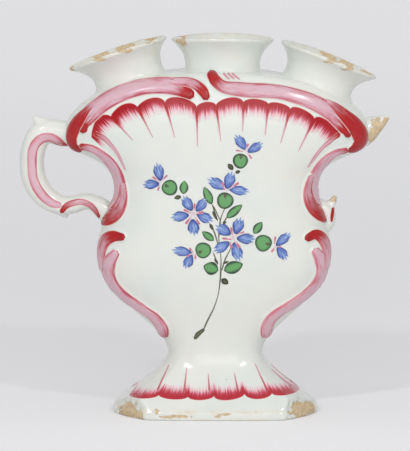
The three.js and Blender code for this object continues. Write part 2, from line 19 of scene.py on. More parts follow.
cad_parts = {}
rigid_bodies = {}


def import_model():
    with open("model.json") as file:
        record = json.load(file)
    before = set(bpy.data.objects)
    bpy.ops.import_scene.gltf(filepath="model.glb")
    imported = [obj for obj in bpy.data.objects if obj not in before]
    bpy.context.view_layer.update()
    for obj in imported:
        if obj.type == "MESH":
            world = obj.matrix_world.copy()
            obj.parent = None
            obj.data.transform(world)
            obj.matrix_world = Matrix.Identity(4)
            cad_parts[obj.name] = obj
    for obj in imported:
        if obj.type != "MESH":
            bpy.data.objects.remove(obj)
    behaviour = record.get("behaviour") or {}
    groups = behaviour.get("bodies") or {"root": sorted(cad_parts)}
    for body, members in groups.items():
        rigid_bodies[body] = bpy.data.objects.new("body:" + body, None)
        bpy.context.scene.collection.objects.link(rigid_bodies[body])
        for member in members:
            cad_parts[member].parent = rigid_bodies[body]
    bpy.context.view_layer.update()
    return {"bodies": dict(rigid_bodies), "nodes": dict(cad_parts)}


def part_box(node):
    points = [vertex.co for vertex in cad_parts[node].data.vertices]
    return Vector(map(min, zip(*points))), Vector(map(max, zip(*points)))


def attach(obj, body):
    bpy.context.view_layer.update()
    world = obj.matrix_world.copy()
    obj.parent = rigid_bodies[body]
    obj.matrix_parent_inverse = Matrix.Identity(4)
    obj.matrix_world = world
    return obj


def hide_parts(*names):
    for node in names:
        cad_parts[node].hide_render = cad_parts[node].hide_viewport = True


LOG = logging.getLogger("vase")
MM = 0.001  # metres in a millimetre
WELD = 0.0005  # mm within which seams and poles are merged
PHOTO_PITCH = 6.5  # degrees that the photograph looks down

Array = np.ndarray
Mesh = bmesh.types.BMesh
Material = bpy.types.Material
Socket = bpy.types.NodeSocket
Colour = tuple[float, float, float, float]
Points = Sequence[tuple[float, ...]]
Placer = Callable[[Array, Array], Array]
Layer = Callable[[Array, Array, Array], Array]
Film = Callable[[Array, Array], tuple]


class Side(Enum):
    """The two faces of the flat vase, by the sign of their outward Y."""

    FRONT = -1
    BACK = 1


def srgb(*levels: int) -> Colour:
    """Give a colour read off a picture as a linear one.

    Args:
        levels: its red, green and blue, from 0 to 255.

    Returns:
        The linear RGBA colour.
    """
    shares = [level / 255 for level in levels]
    parts = [share / 12.92 if share <= 0.04045 else ((share + 0.055) / 1.055) ** 2.4 for share in shares]
    return (*parts, 1.0)


def smooth(low: float, high: float, value: Array | float) -> Array | float:
    """Ease from 0 at low to 1 at high."""
    share = np.clip((value - low) / (high - low), 0, 1)
    return share * share * (3 - 2 * share)


def bulge(share: Array | float, power: float) -> Array | float:
    """Give a rounded section's depth, as a share of its half depth, at a share of its half width."""
    return np.clip(1 - np.clip(np.abs(share), 0, 1) ** power, 0, None) ** (1 / power)


def walk(run: Array) -> Array:
    """Give the distance walked along a run of points, at each of them."""
    return np.concatenate([[0], np.cumsum(np.hypot(*np.diff(run[:, :2], axis=0).T))])


def headings(run: Array) -> Array:
    """Give the unit direction of a run of points, at each of them."""
    way = np.gradient(run[:, :2], axis=0)
    return way / np.linalg.norm(way, axis=1, keepdims=True)


def beside(start: Sequence, way: Sequence, along: Array, off: Array) -> tuple[Array, Array]:
    """Give places by how far they stand along a direction from a start, and how far off it."""
    return start[0] + way[0] * along - way[1] * off, start[1] + way[1] * along + way[0] * off


def between(first: Sequence[float], last: Sequence[float], share: float) -> tuple[float, float]:
    """Give the place at a share of the way from one place to another."""
    return first[0] + (last[0] - first[0]) * share, first[1] + (last[1] - first[1]) * share


def cubic(knots: Points, steps: int) -> list[tuple[float, float]]:
    """Give points of a cubic curve.

    Args:
        knots: its four control points.
        steps: how many points it gives.

    Returns:
        The points after the first knot, up to the last one.
    """
    marks = []
    for t in (k / steps for k in range(1, steps + 1)):
        weights = ((1 - t) ** 3, 3 * (1 - t) ** 2 * t, 3 * (1 - t) * t * t, t**3)
        marks.append(tuple(sum(w * knot[k] for w, knot in zip(weights, knots)) for k in (0, 1)))
    return marks


def catmull(points: Points, spacing: float) -> Array:
    """Draw an even run of points through a few given ones.

    Args:
        points: the given points, of any number of parts each; the first two are a place.
        spacing: distance between the points of the run.

    Returns:
        The points of the run, one row each.
    """
    given = np.array(points, float)
    ends = np.vstack([2 * given[0] - given[1], given, 2 * given[-1] - given[-2]])
    dense = []
    for a, b, c, d in zip(ends, ends[1:], ends[2:], ends[3:]):
        for t in np.linspace(0, 1, 16, endpoint=False):
            dense.append(0.5 * (2 * b + (c - a) * t + (2 * a - 5 * b + 4 * c - d) * t**2
                                + (3 * b - a - 3 * c + d) * t**3))
    run = np.array([*dense, given[-1]])
    walked = walk(run)
    marks = np.linspace(0, walked[-1], max(3, int(walked[-1] / spacing) + 1))
    return np.stack([np.interp(marks, walked, run[:, k]) for k in range(run.shape[1])], 1)


def reshape_grid(bm: Mesh, columns: int, rows: int, place: Placer) -> list[bmesh.types.BMVert]:
    """Add a grid and move its vertices to a surface.

    Args:
        bm: mesh that gets the grid.
        columns: faces along the first way of the grid.
        rows: faces along the second way.
        place: gives points in mm for shares from 0 to 1 along the two ways.

    Returns:
        The new vertices.
    """
    made = bmesh.ops.create_grid(bm, x_segments=columns, y_segments=rows, size=1)["verts"]
    u = np.array([(vertex.co.x + 1) / 2 for vertex in made])
    v = np.array([(vertex.co.y + 1) / 2 for vertex in made])
    for vertex, point in zip(made, place(u, v)):
        vertex.co = point
    return made


def closed_grid(columns: int, rows: int, place: Placer) -> Mesh:
    """Bend a grid round until its borders meet, merge them and turn its faces outwards.

    Args:
        columns: faces along the first way of the grid.
        rows: faces along the second way.
        place: gives points in mm for shares from 0 to 1 along the two ways.

    Returns:
        The closed mesh.
    """
    bm = bmesh.new()
    reshape_grid(bm, columns, rows, place)
    bmesh.ops.remove_doubles(bm, verts=bm.verts, dist=WELD)
    bmesh.ops.recalc_face_normals(bm, faces=bm.faces)
    return bm


def add_object(name: str, bm: Mesh) -> bpy.types.Object:
    """Make a smooth object of a mesh and put it in the scene.

    Args:
        name: the object's name.
        bm: the mesh; it is freed.

    Returns:
        The object.
    """
    mesh = bpy.data.meshes.new(name)
    bm.to_mesh(mesh)
    bm.free()
    mesh.polygons.foreach_set("use_smooth", [True] * len(mesh.polygons))
    made = bpy.data.objects.new(name, mesh)
    bpy.context.scene.collection.objects.link(made)
    return made


@dataclass(frozen=True)
class Stroke:
    """A brush stroke: its points (x, z, half breadth) in mm, and how dark it is at its ends and between.

    The colour eases over the reach at both ends. A layer lies over those below it, moulded is the height
    of the raised moulding under the stroke, and a stroke that grows out of another has no rim at its start.
    """

    points: Points
    start: float = 0.9
    end: float = 0.9
    middle: float = 0.12
    reach: float = 9.0
    layer: int = 0
    moulded: float = 0.0
    grows: bool = False


@dataclass(frozen=True)
class Relief:
    """Soft raised mouldings that run under the scroll strokes."""

    strokes: Sequence[Stroke]
    spacing: float = 1.2
    margin: float = 0.9
    slope: tuple[float, float] = (1.12, 0.35)
    window: tuple[float, float] = (12.0, 20.0)

    def height(self, x: Array, z: Array) -> Array:
        """Give how far the mouldings stand off the wall.

        Args:
            x: places across in the picture plane, in mm.
            z: their heights.

        Returns:
            The mouldings' height at each place.
        """
        flat_x, flat_z = np.ravel(x), np.ravel(z)
        best = np.zeros_like(flat_x)
        for stroke in self.strokes:
            if not stroke.moulded:
                continue
            run = catmull(stroke.points, self.spacing)
            near = np.nonzero(
                (np.abs(flat_x - run[:, 0].mean()) < np.ptp(run[:, 0]) / 2 + self.window[0])
                & (np.abs(flat_z - run[:, 1].mean()) < np.ptp(run[:, 1]) / 2 + self.window[1]))[0]
            if not len(near):
                continue
            away = np.hypot(flat_x[near, None] - run[None, :, 0], flat_z[near, None] - run[None, :, 1])
            ratio = (away / (run[None, :, 2] + self.margin)).min(1)
            best[near] = np.maximum(best[near], stroke.moulded * smooth(*self.slope, ratio))
        return best.reshape(np.shape(x))


@dataclass
class BodyForm:
    """Flat waisted body, by half width, half depth and height at five stations, in mm.

    A pull gives a cubic's handles between two stations, as shares of its rise: up from the lower
    station, down from the upper one, and outwards at the upper one.
    """

    waist: tuple[float, float, float] = (25.0, 19.0, 33.5)
    belly: tuple[float, float, float] = (61.6, 27.5, 87.0)
    nip: tuple[float, float, float] = (53.2, 28.5, 119.5)
    shoulder: tuple[float, float, float] = (79.9, 30.0, 147.0)
    deck: tuple[float, float, float] = (71.5, 20.5, 163.6)
    side_pulls: Points = ((0.26, 0.5, 0.0), (0.36, 0.3, 0.0), (0.68, 0.46, 0.0), (0.5, 0.33, 0.33))
    front_pulls: Points = ((0.26, 0.5, 0.0), (0.36, 0.3, 0.0), (0.36, 0.3, 0.0), (0.55, 0.03, 0.28))
    shoulder_arch: float = 10.0
    deck_arch: float = 17.5
    crown: float = -0.4
    section_power: float = 2.8
    arch_power: float = 2.7
    step_width: float = 70.0
    step_depth: float = 29.0
    lean: Points = ((33.5, 0), (70, -0.6), (87, -0.8), (119.5, -0.1), (147, 0.85), (165, 0.6), (182, 0))
    relief: Relief | None = None
    side: Array = field(init=False)
    front: Array = field(init=False)
    shares: tuple[Array, Array] = field(init=False)

    def __post_init__(self) -> None:
        """Work out the two outlines and the even steps across a section."""
        marks = (self.waist, self.belly, self.nip, self.shoulder, self.deck)
        arches = (0.0, 0.0, 0.0, self.shoulder_arch, self.deck_arch)
        self.side = self.outline([(mark[0], mark[2]) for mark in marks], self.side_pulls)
        self.front = self.outline([(mark[1], mark[2] + arch) for mark, arch in zip(marks, arches)],
                                  self.front_pulls)
        angle = np.linspace(-math.pi / 2, math.pi / 2, 2001)
        across = np.sign(np.sin(angle)) * np.abs(np.sin(angle)) ** (2 / self.section_power)
        deep = np.cos(angle).clip(0) ** (2 / self.section_power)
        walked = walk(np.stack([across * self.step_width, deep * self.step_depth], 1))
        self.shares = (walked / walked[-1], across)

    @staticmethod
    def outline(knots: Points, pulls: Points) -> Array:
        """Join knots by cubics.

        Args:
            knots: half size and height of each knot.
            pulls: the handles between two knots.

        Returns:
            Four control points for each piece of the outline.
        """
        pieces = []
        for (low, bottom), (high, top), (up, down, out) in zip(knots, knots[1:], pulls):
            rise = top - bottom
            pieces.append([(low, bottom), (low, bottom + up * rise),
                           (high + out * rise, top - down * rise), (high, top)])
        return np.array(pieces)

    @staticmethod
    def along(outline: Array, station: Array | float) -> tuple[Array, Array]:
        """Follow an outline.

        Args:
            outline: the control points of its pieces.
            station: places from 0 (waist) to 4 (deck).

        Returns:
            Half size and height at each place.
        """
        place = np.clip(station, 0, 4)
        piece = np.minimum(place.astype(int), 3)
        t = (place - piece)[..., None]
        knots, back = outline[piece], 1 - t
        point = (back**3 * knots[..., 0, :] + 3 * back * back * t * knots[..., 1, :]
                 + 3 * back * t * t * knots[..., 2, :] + t**3 * knots[..., 3, :])
        return point[..., 0], point[..., 1]

    def arch(self, station: Array | float, share: Array | float) -> Array:
        """Give the height of the arched section at a station, at a share of its half width."""
        edge, middle = self.along(self.side, station)[1], self.along(self.front, station)[1]
        return middle + (edge - middle) * np.clip(np.abs(share), 0, 1) ** self.arch_power

    def even_share(self, v: Array) -> Array:
        """Turn an even step from 0 to 1 round a half section into a share of its half width."""
        return np.interp(v, *self.shares)

    def skew(self, height: Array | float) -> Array:
        """Give how far the hand-pressed body stands off its middle plane at a height."""
        return np.interp(height, [mark[0] for mark in self.lean], [mark[1] for mark in self.lean])

    def plain(self, station: Array, share: Array) -> Array:
        """Give points of the front without its mouldings.

        Args:
            station: places from 0 (waist) to 4 (deck).
            share: places across, from -1 to 1.

        Returns:
            The points, in mm.
        """
        z = self.arch(station, share)
        y = -self.along(self.front, station)[0] * bulge(share, self.section_power)
        return np.stack([share * self.along(self.side, station)[0] + self.skew(z), y, z], -1)

    def normal(self, station: Array, share: Array) -> Array:
        """Give outward directions of the front.

        Args:
            station: places from 0 (waist) to 4 (deck).
            share: places across, from -1 to 1.

        Returns:
            The unit directions.
        """
        step = 0.012
        rise = (self.plain(np.minimum(station + step, 4), share)
                - self.plain(np.maximum(station - step, 0), share))
        width = (self.plain(station, np.clip(share + step, -1, 1))
                 - self.plain(station, np.clip(share - step, -1, 1)))
        out = np.cross(width, rise)
        return out / np.linalg.norm(out, axis=-1, keepdims=True)

    def place(self, x: Array, z: Array) -> tuple[Array, Array]:
        """Find the front behind points of the picture plane.

        Args:
            x: places across, in mm.
            z: their heights.

        Returns:
            Station and share of each point.
        """
        over = x - self.skew(z)
        low, high = np.zeros_like(over), np.full_like(over, 4.0)
        for _ in range(26):
            mid = (low + high) / 2
            under = self.arch(mid, over / self.along(self.side, mid)[0]) < z
            low, high = np.where(under, mid, low), np.where(under, high, mid)
        return low, np.clip(over / self.along(self.side, low)[0], -0.995, 0.995)

    def skin(self, station: Array, share: Array, lift: Array | float = 0.0) -> Array:
        """Give points of the front with its mouldings.

        Args:
            station: places from 0 (waist) to 4 (deck).
            share: places across, from -1 to 1.
            lift: distance off the surface, in mm.

        Returns:
            The points, in mm.
        """
        point = self.plain(station, share)
        height = self.relief.height(point[..., 0], point[..., 2]) if self.relief else 0.0
        return point + self.normal(station, share) * np.asarray(height + lift)[..., None]

    def lay(self, x: Array, z: Array, lift: Array) -> Array:
        """Lay points of the picture plane on the moulded front."""
        return self.skin(*self.place(x, z), lift)

    def top_height(self, x: float, y: float) -> float:
        """Give the height of the body's top.

        Args:
            x: place across in the plan, in mm.
            y: place front to back.

        Returns:
            The height of the slab, or of the shoulder round it.
        """
        def reach(station: float) -> tuple[float, float]:
            """Give the place as shares of the half width and half depth at a station."""
            at = np.array(station)
            return abs(x) / self.along(self.side, at)[0], abs(y) / self.along(self.front, at)[0]

        low, high = 3.0, 4.0
        across, deep = reach(high)
        rim = bulge(across, self.section_power)
        if across < 1 and deep <= rim:
            return float(self.arch(np.array(high), across) + self.crown * (1 - (deep / rim) ** 2))
        for _ in range(24):
            mid = (low + high) / 2
            outside = sum(part**self.section_power for part in reach(mid)) >= 1
            low, high = (low, mid) if outside else (mid, high)
        return float(self.arch(np.array(low), reach(low)[0]))


@dataclass(frozen=True)
class Signal:
    """A number or colour that nodes work out, with arithmetic that adds Math nodes."""

    finish: Finish
    socket: Socket

    def __add__(self, other: Signal | float) -> Signal:
        """Add a value."""
        return self.finish.math("ADD", self, other)

    def __sub__(self, other: Signal | float) -> Signal:
        """Take a value away."""
        return self.finish.math("SUBTRACT", self, other)

    def __mul__(self, other: Signal | float) -> Signal:
        """Multiply by a value."""
        return self.finish.math("MULTIPLY", self, other)

    def __pow__(self, other: float) -> Signal:
        """Raise to a power."""
        return self.finish.math("POWER", self, other)

    def __abs__(self) -> Signal:
        """Give the size without its sign."""
        return self.finish.math("ABSOLUTE", self)

    def about(self, middle: float, amount: float) -> Signal:
        """Give the signal's swing about a middle value, multiplied by an amount."""
        return (self - middle) * amount

    def ease(self, low: float, high: float) -> Signal:
        """Ease the signal between two marks.

        Args:
            low: where the result is 0.
            high: where it is 1; it may be the smaller one.

        Returns:
            The eased signal.
        """
        made = self.finish.node("ShaderNodeMapRange", interpolation_type="SMOOTHSTEP", in_From_Min=low,
                                in_From_Max=high)
        self.finish.feed(made.inputs["Value"], self)
        return Signal(self.finish, made.outputs["Result"])


class Finish:
    """Base of the finishes: a node material with a few helpers."""

    def __init__(self, name: str) -> None:
        """Start a material with its shader.

        Args:
            name: the material's name.
        """
        self.material = bpy.data.materials.new(name)
        self.material.use_nodes = True
        self.tree = self.material.node_tree
        self.shader = self.tree.nodes["Principled BSDF"]

    def node(self, kind: str, **values: object) -> bpy.types.Node:
        """Add a node, with properties by name and inputs as in_NAME.

        Args:
            kind: Blender's name of the node's type.
            values: properties, or input values whose keys start with in_.

        Returns:
            The new node.
        """
        made = self.tree.nodes.new(kind)
        for key, value in values.items():
            if key.startswith("in_"):
                made.inputs[key[3:].replace("_", " ")].default_value = value
            else:
                setattr(made, key, value)
        return made

    def feed(self, target: Socket, value: Signal | float | Colour) -> None:
        """Link a signal to a socket, or give the socket a plain value.

        Args:
            target: the socket.
            value: the signal, number or colour.
        """
        if isinstance(value, Signal):
            self.tree.links.new(value.socket, target)
        else:
            target.default_value = value

    def math(self, kind: str, *values: Signal | float) -> Signal:
        """Add a Math node.

        Args:
            kind: its operation.
            values: signals or numbers that feed it.

        Returns:
            Its result.
        """
        made = self.node("ShaderNodeMath", operation=kind)
        for socket, value in zip(made.inputs, values):
            self.feed(socket, value)
        return Signal(self, made.outputs[0])

    def mix(self, share: Signal | float, first: Signal | Colour, second: Signal | Colour) -> Signal:
        """Mix two colours.

        Args:
            share: how much of the second one shows, from 0 to 1.
            first: a colour.
            second: a colour.

        Returns:
            The mixed colour.
        """
        made = self.node("ShaderNodeMix", data_type="RGBA")
        for socket, value in zip((made.inputs["Factor"], made.inputs[6], made.inputs[7]),
                                 (share, first, second)):
            self.feed(socket, value)
        return Signal(self, made.outputs[2])

    def place(self) -> Signal:
        """Give the object's own coordinates."""
        return Signal(self, self.node("ShaderNodeTexCoord").outputs["Object"])

    def attribute(self, name: str) -> Signal:
        """Give a vertex attribute of the piece as a number."""
        return Signal(self, self.node("ShaderNodeAttribute", attribute_name=name).outputs["Fac"])

    def brush(self) -> tuple[Signal, Signal, Signal]:
        """Give the places across and along a film of paint, and its tone."""
        return self.attribute("across"), self.attribute("along"), self.attribute("tone")

    def noise(self, vector: Signal, scale: float, detail: float) -> Signal:
        """Give noise.

        Args:
            vector: where it is read.
            scale: its fineness.
            detail: how many finer layers of noise it gets.

        Returns:
            The noise, from 0 to 1.
        """
        made = self.node("ShaderNodeTexNoise", in_Scale=scale, in_Detail=detail)
        self.feed(made.inputs["Vector"], vector)
        return Signal(self, made.outputs["Fac"])

    def streaks(self, along: Signal, across: Signal, seed: Signal | float, scale: float,
                detail: float) -> Signal:
        """Give noise over places of the brush.

        Args:
            along: place along the brush.
            across: place across it.
            seed: sets one film's streaks apart from another's.
            scale: fineness of the streaks.
            detail: how many finer layers of noise they get.

        Returns:
            The noise, from 0 to 1.
        """
        made = self.node("ShaderNodeCombineXYZ")
        for socket, part in zip(made.inputs, (along, across, seed)):
            self.feed(socket, part)
        return self.noise(Signal(self, made.outputs[0]), scale, detail)

    def dress(self, colour: Signal, roughness: Signal | float, height: Signal, depth: float,
              strength: float) -> Material:
        """Feed the shader.

        Args:
            colour: base colour.
            roughness: roughness.
            height: unevenness of the surface.
            depth: its depth in metres.
            strength: how strongly it shows.

        Returns:
            The finished material.
        """
        made = self.node("ShaderNodeBump", in_Strength=strength, in_Distance=depth)
        self.feed(made.inputs["Height"], height)
        self.feed(self.shader.inputs["Normal"], Signal(self, made.outputs["Normal"]))
        self.feed(self.shader.inputs["Base Color"], colour)
        self.feed(self.shader.inputs["Roughness"], roughness)
        return self.material


@dataclass(frozen=True)
class TinGlaze:
    """Milky tin glaze over buff clay: cool tints, pinholes, a wavy skin, and bare clay at the chips."""

    milk: Colour = srgb(236, 237, 230)
    cool: Colour = srgb(229, 234, 229)
    warm: Colour = srgb(239, 232, 217)
    pinhole: Colour = srgb(120, 112, 100)
    thin: Colour = srgb(226, 208, 178)
    clay: Colour = srgb(226, 204, 168)
    clay_dark: Colour = srgb(206, 182, 146)
    roughness: float = 0.16
    clay_roughness: float = 0.85
    clay_grain: float = 1.6
    depth: float = 0.0007
    strength: float = 0.55

    def colour(self, finish: Finish, place: Signal) -> Signal:
        """Give the glaze's own colour: milky clouds, warm stains and rare pinholes.

        Args:
            finish: the material that gets the nodes.
            place: the object's coordinates.

        Returns:
            The colour.
        """
        tint = finish.mix(finish.noise(place, 28, 3).ease(0.35, 0.7), self.milk, self.cool)
        tint = finish.mix(finish.noise(place, 61, 4).ease(0.6, 0.78) * 0.45, tint, self.warm)
        specks = finish.node("ShaderNodeTexVoronoi", in_Scale=420)
        finish.feed(specks.inputs["Vector"], place)
        rare = finish.noise(place, 170, 1).ease(0.7, 0.74)
        dots = Signal(finish, specks.outputs["Distance"]).ease(0.17, 0.1) * rare
        return finish.mix(dots * 0.75, tint, self.pinhole)

    def skin(self, finish: Finish, place: Signal) -> Signal:
        """Give the height of the glaze's wavy skin."""
        return finish.noise(place, 55, 2) + finish.noise(place, 420, 2) * 0.07

    def make(self, name: str, worn: bool = False) -> Material:
        """Make the material.

        Args:
            name: the material's name.
            worn: whether the piece carries the attributes bare (chips) and thin (worn edges).

        Returns:
            The material.
        """
        finish = Finish(name)
        place = finish.place()
        colour, height = self.colour(finish, place), self.skin(finish, place)
        roughness: Signal | float = self.roughness
        if worn:
            grain = finish.noise(place, 900, 4)
            bare = (finish.attribute("bare") + grain * 0.3).ease(0.6, 0.68)
            edge = finish.attribute("thin") * finish.noise(place, 240, 3).ease(0.3, 0.62)
            colour = finish.mix(edge * 0.75, colour, self.thin)
            clay = finish.mix(finish.noise(place, 650, 5).ease(0.35, 0.7), self.clay, self.clay_dark)
            colour = finish.mix(bare, colour, clay)
            rough = finish.node("ShaderNodeMapRange", in_To_Min=self.roughness,
                                in_To_Max=self.clay_roughness)
            finish.feed(rough.inputs["Value"], bare)
            roughness = Signal(finish, rough.outputs["Result"])
            height = height + bare * (grain * self.clay_grain)
        finish.shader.inputs["IOR"].default_value = 1.5
        return finish.dress(colour, roughness, height, self.depth, self.strength)


@dataclass(frozen=True)
class RoseEnamel:
    """Crimson to pale rose enamel, streaked along the brush, darker at its edges and where it rested."""

    dark: Colour = srgb(182, 34, 38)
    deep: Colour = srgb(146, 18, 26)
    rose: Colour = srgb(208, 100, 118)
    pale: Colour = srgb(224, 186, 198)
    line: Colour = srgb(180, 70, 92)
    halo: Colour = srgb(236, 214, 206)
    rim: float = 0.88
    roughness: float = 0.2
    specular: float = 0.36

    def make(self, name: str) -> Material:
        """Make the material.

        Args:
            name: the material's name.

        Returns:
            The material.
        """
        finish = Finish(name)
        across, along, tone = finish.brush()
        streaks = finish.streaks(along * 0.06, across * 2.6, tone, 2.2, 4)
        broad = finish.streaks(along * 0.09, across, 3.0, 1.4, 2)
        edge = abs(across)
        body = edge**1.6 * 0.62 + streaks.about(0.5, 1.1) + broad.about(0.45, 0.7)
        colour = finish.mix(body.ease(0.0, 0.75), self.pale, self.rose)
        lower = across.ease(0.62, 0.8) * 0.8
        colour = finish.mix(lower * streaks.ease(0.3, 0.6), colour, self.line)
        rest = tone + streaks.about(0.5, 0.7)
        colour = finish.mix(rest.ease(0.3, 0.8), colour, self.dark)
        colour = finish.mix(rest.ease(0.85, 1.25) * 0.55, colour, self.deep)
        if self.rim < 1:
            colour = finish.mix(edge.ease(self.rim, self.rim + 0.1), colour, self.halo)
        finish.shader.inputs["Specular IOR Level"].default_value = self.specular
        return finish.dress(colour, self.roughness, finish.noise(finish.place(), 55, 2), 0.0007, 0.5)


@dataclass(frozen=True)
class CombedBorder:
    """Scalloped border: a crimson edge that a fine comb of strokes draws out into the white glaze."""

    dark: Colour = srgb(174, 20, 32)
    rose: Colour = srgb(206, 84, 104)
    pale: Colour = srgb(236, 186, 196)
    halo: Colour = srgb(240, 214, 208)
    glaze: TinGlaze = TinGlaze()
    roughness: float = 0.18
    specular: float = 0.36

    def make(self, name: str) -> Material:
        """Make the material.

        Args:
            name: the material's name.

        Returns:
            The material.
        """
        finish = Finish(name)
        place = finish.place()
        across, along, tone = finish.brush()
        comb = finish.streaks(along * 1.45, across * 0.5, 1.0, 1.0, 2)
        fine = finish.streaks(along * 3.1, across * 1.4, 5.0, 1.0, 2)
        pull = across - comb.about(0.5, 0.75) - fine.about(0.5, 0.45) - tone * 0.22
        colour = finish.mix(pull.ease(0.86, 0.46), self.glaze.colour(finish, place), self.pale)
        colour = finish.mix(pull.ease(0.58, 0.36), colour, self.rose)
        colour = finish.mix(pull.ease(0.44, 0.2), colour, self.dark)
        colour = finish.mix(across.ease(0.035, 0.012), colour, self.halo)
        finish.shader.inputs["Specular IOR Level"].default_value = self.specular
        return finish.dress(colour, self.roughness, self.glaze.skin(finish, place), self.glaze.depth,
                            self.glaze.strength)


@dataclass(frozen=True)
class PetalEnamel:
    """Cornflower blue, washed pale in the middle of a petal and dark at its base and between its teeth."""

    pale: Colour = srgb(156, 182, 224)
    blue: Colour = srgb(84, 112, 188)
    dark: Colour = srgb(38, 44, 118)
    roughness: float = 0.22

    def make(self, name: str) -> Material:
        """Make the material.

        Args:
            name: the material's name.

        Returns:
            The material.
        """
        finish = Finish(name)
        across, along, tone = finish.brush()
        streaks = finish.streaks(along * 0.16, across * 2.4, 0.0, 2.0, 3)
        depth = tone + streaks.about(0.5, 1.7)
        colour = finish.mix(depth.ease(-0.1, 0.42), self.pale, self.blue)
        colour = finish.mix(depth.ease(0.48, 1.05), colour, self.dark)
        return finish.dress(colour, self.roughness, streaks, 0.0002, 0.3)


@dataclass(frozen=True)
class PlainEnamel:
    """One brushed enamel with another colour at its outline and streaks along the brush."""

    inner: Colour
    outer: Colour
    outline: float = 0.66
    streak: float = 0.8
    blur: float = 0.14
    roughness: float = 0.22

    def make(self, name: str) -> Material:
        """Make the material.

        Args:
            name: the material's name.

        Returns:
            The material.
        """
        finish = Finish(name)
        across, along, tone = finish.brush()
        streaks = finish.streaks(along * 0.25, across * 1.9, tone * 9.0, 1.6, 3)
        edge = abs(across) + streaks.about(0.5, self.streak)
        rim = edge.ease(self.outline - self.blur, self.outline + self.blur)
        colour = finish.mix(rim, self.inner, self.outer)
        return finish.dress(colour, self.roughness, finish.noise(finish.place(), 300, 2), 0.0003, 0.3)


Enamel = RoseEnamel | CombedBorder | PetalEnamel | PlainEnamel


